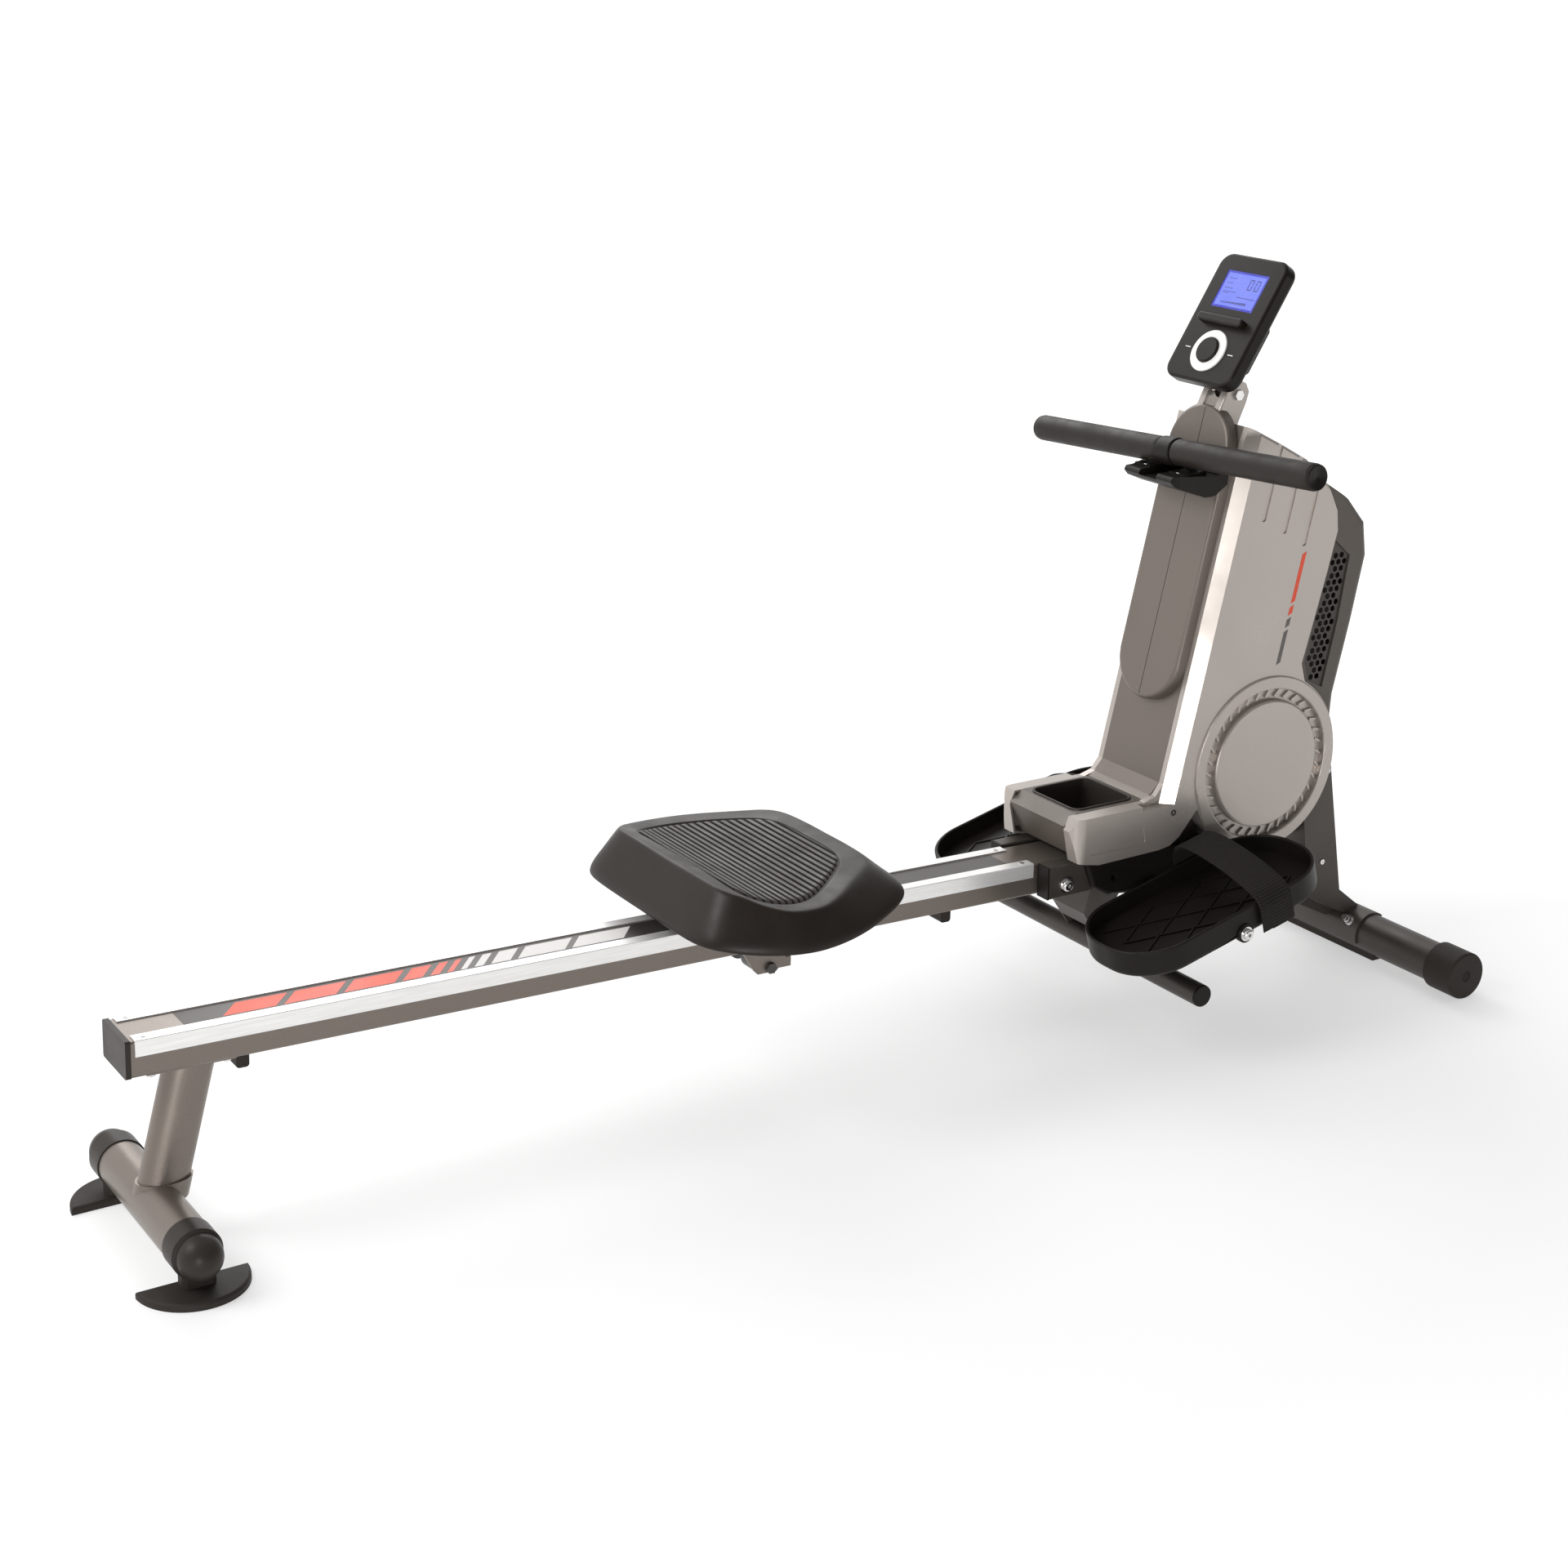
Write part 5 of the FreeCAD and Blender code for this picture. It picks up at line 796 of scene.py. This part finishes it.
S0, S1, Y1 = 110.2, 165.8, 40.8            # the display's low and high edge and half width
EDGE, SCREEN_Z = 3.2, -0.5                 # its border, and how deep the screen lies
slabs("display_border", face_boxes([(S0, S0 + EDGE, -Y1, Y1), (S1 - EDGE, S1, -Y1, Y1),
                                    (S0 + EDGE, S1 - EDGE, -Y1, -Y1 + EDGE),
                                    (S0 + EDGE, S1 - EDGE, Y1 - EDGE, Y1)], SCREEN_Z),
      FACE_OUT, 0.15, LCD_EDGE, "console")
DIGITS_Y = (-14.0, -27.0)
DIGIT_LOW, DIGIT_TALL, DIGIT_WIDE, DIGIT_BAR = 141.0, 16.0, 8.0, 1.5
ink = []
# two large noughts, each of six bars
for y_mid in DIGITS_Y:
    digit_high, digit_mid = DIGIT_LOW + DIGIT_TALL, DIGIT_LOW + DIGIT_TALL / 2
    y_low, y_high = y_mid - DIGIT_WIDE / 2, y_mid + DIGIT_WIDE / 2
    ink += [(DIGIT_LOW, DIGIT_LOW + DIGIT_BAR, y_low, y_high),
            (digit_high - DIGIT_BAR, digit_high, y_low, y_high)]
    for s_a, s_b in ((DIGIT_LOW + DIGIT_BAR + 0.5, digit_mid - 0.4),
                     (digit_mid + 0.4, digit_high - DIGIT_BAR - 0.5)):
        ink += [(s_a, s_b, y_low, y_low + DIGIT_BAR), (s_a, s_b, y_high - DIGIT_BAR, y_high)]
# rows of dashes, a rising row of bars and two rules
for row in range(4):
    s = 154.5 - row * 7.5
    ink += [(s, s + 1.1, 30 - 4.2 * k, 33 - 4.2 * k) for k in range(4 - row % 2)]
ink += [(118.0, 119.4 + 0.25 * k, 24 - 4.6 * k, 27.4 - 4.6 * k) for k in range(11)]
ink += [(128.0, 129.0, -34, 2), (134.5, 135.3, 6, 33)]
slabs("display_figures", face_boxes(ink, SCREEN_Z), FACE_OUT, 0.1, LCD_INK, "console")
slabs("console_ticks", face_boxes([(45.2, 46.4, 38, 48), (45.2, 46.4, -48, -38)], 0.0), FACE_OUT,
      MARK_T, WHITE, "console")


# ---------------------------------------------------------------- floor, light, camera
FLOOR_HALF = 60.0           # metres
FLOOR_DROP = 0.0002         # keeps it clear of the feet
mesh = bpy.data.meshes.new("floor")
mesh.from_pydata([(-FLOOR_HALF, -FLOOR_HALF, 0), (FLOOR_HALF, -FLOOR_HALF, 0), (FLOOR_HALF, FLOOR_HALF, 0),
                  (-FLOOR_HALF, FLOOR_HALF, 0)], [], [(0, 1, 2, 3)])
floor = bpy.data.objects.new("floor", mesh)
bpy.context.scene.collection.objects.link(floor)
floor.location.z = -FLOOR_DROP
floor_look = material("pale_floor", (0.48, 0.48, 0.48), 0.8, tone=0.01, cloud=0.4, grain=30, grain_tone=0.0,
                      bump=0.0)
tree = floor_look.node_tree
# the sweep glows more the further it is from the machine, so only soft shadows show
reach = put(tree, "ShaderNodeVectorMath", operation="LENGTH")
tree.links.new(put(tree, "ShaderNodeTexCoord").outputs["Object"], reach.inputs[0])
glow = spread(tree, reach.outputs["Value"], 0.50, 0.80, 0.9, 2.6)
tree.links.new(glow, tree.nodes["Principled BSDF"].inputs["Emission Strength"])
tree.nodes["Principled BSDF"].inputs["Emission Color"].default_value = (1, 1, 1, 1)
floor.data.materials.append(floor_look)


def area_light(name, place, target, width, height, power):
    """Rectangular white light, in metres and watts, turned to its target."""
    data = bpy.data.lights.new(name, "AREA")
    data.shape = "RECTANGLE"
    data.size, data.size_y = width, height
    data.energy = power
    lamp = bpy.data.objects.new(name, data)
    bpy.context.scene.collection.objects.link(lamp)
    lamp.location = place
    lamp.rotation_euler = (Vector(target) - Vector(place)).to_track_quat("-Z", "Y").to_euler()


area_light("bevel", (-2.6, -4.0, 0.45), (0.6, -0.1, 0.55), 0.9, 0.9, 62)
area_light("key", (-2.9, 0.5, 2.7), (0.2, 0.0, 0.4), 1.6, 1.6, 66)
area_light("back", (0.7, 3.0, 2.5), (0.1, 0.0, 0.3), 2.6, 1.6, 46)
world = bpy.data.worlds.new("studio")
bpy.context.scene.world = world
world.use_nodes = True
sky = world.node_tree
ray = put(sky, "ShaderNodeTexCoord").outputs["Generated"]
split = put(sky, "ShaderNodeSeparateXYZ")
sky.links.new(ray, split.inputs[0])
# a white wall beyond the machine, a dim room on the near side
toward = put(sky, "ShaderNodeMapRange")
toward.inputs["From Min"].default_value = -0.35
toward.inputs["From Max"].default_value = 0.62
toward.inputs["To Min"].default_value = 0.12
toward.inputs["To Max"].default_value = 1.02
sky.links.new(split.outputs["Y"], toward.inputs["Value"])
above = put(sky, "ShaderNodeMath", operation="MULTIPLY_ADD")
above.inputs[1].default_value = 0.20
sky.links.new(split.outputs["Z"], above.inputs[0])
sky.links.new(toward.outputs[0], above.inputs[2])
sky.nodes["Background"].inputs["Color"].default_value = (1.0, 1.0, 1.0, 1.0)
sky.links.new(above.outputs[0], sky.nodes["Background"].inputs["Strength"])
bpy.context.scene.view_settings.view_transform = "Standard"

CAMERA_AT = (-1.7748, -2.7472, 1.5208)     # metres
YAW, PITCH, ROLL = 32.0423, 15.5468, 0.4871
SENSOR, LENS = 36.0, 61.6569               # mm
SHIFT_X, SHIFT_Y = 0.003026, -0.1000573    # shares of the picture's width
FAR_CLIP = 300.0                           # metres
camera_data = bpy.data.cameras.new("camera")
camera = bpy.data.objects.new("camera", camera_data)
bpy.context.scene.collection.objects.link(camera)
bpy.context.scene.camera = camera
camera_data.sensor_width = SENSOR
camera_data.lens = LENS
camera_data.shift_x, camera_data.shift_y = SHIFT_X, SHIFT_Y
camera_data.clip_end = FAR_CLIP
yaw, pitch = math.radians(YAW), math.radians(PITCH)
ahead = Vector((math.sin(yaw) * math.cos(pitch), math.cos(yaw) * math.cos(pitch), -math.sin(pitch)))
right = ahead.cross(Vector((0, 0, 1))).normalized()
up = right.cross(ahead)
roll = math.radians(ROLL)
right_r = right * math.cos(roll) + up * math.sin(roll)
up_r = -right * math.sin(roll) + up * math.cos(roll)
turn = Matrix((right_r, up_r, -ahead)).transposed()
camera.matrix_world = Matrix.Translation(Vector(CAMERA_AT)) @ turn.to_4x4()
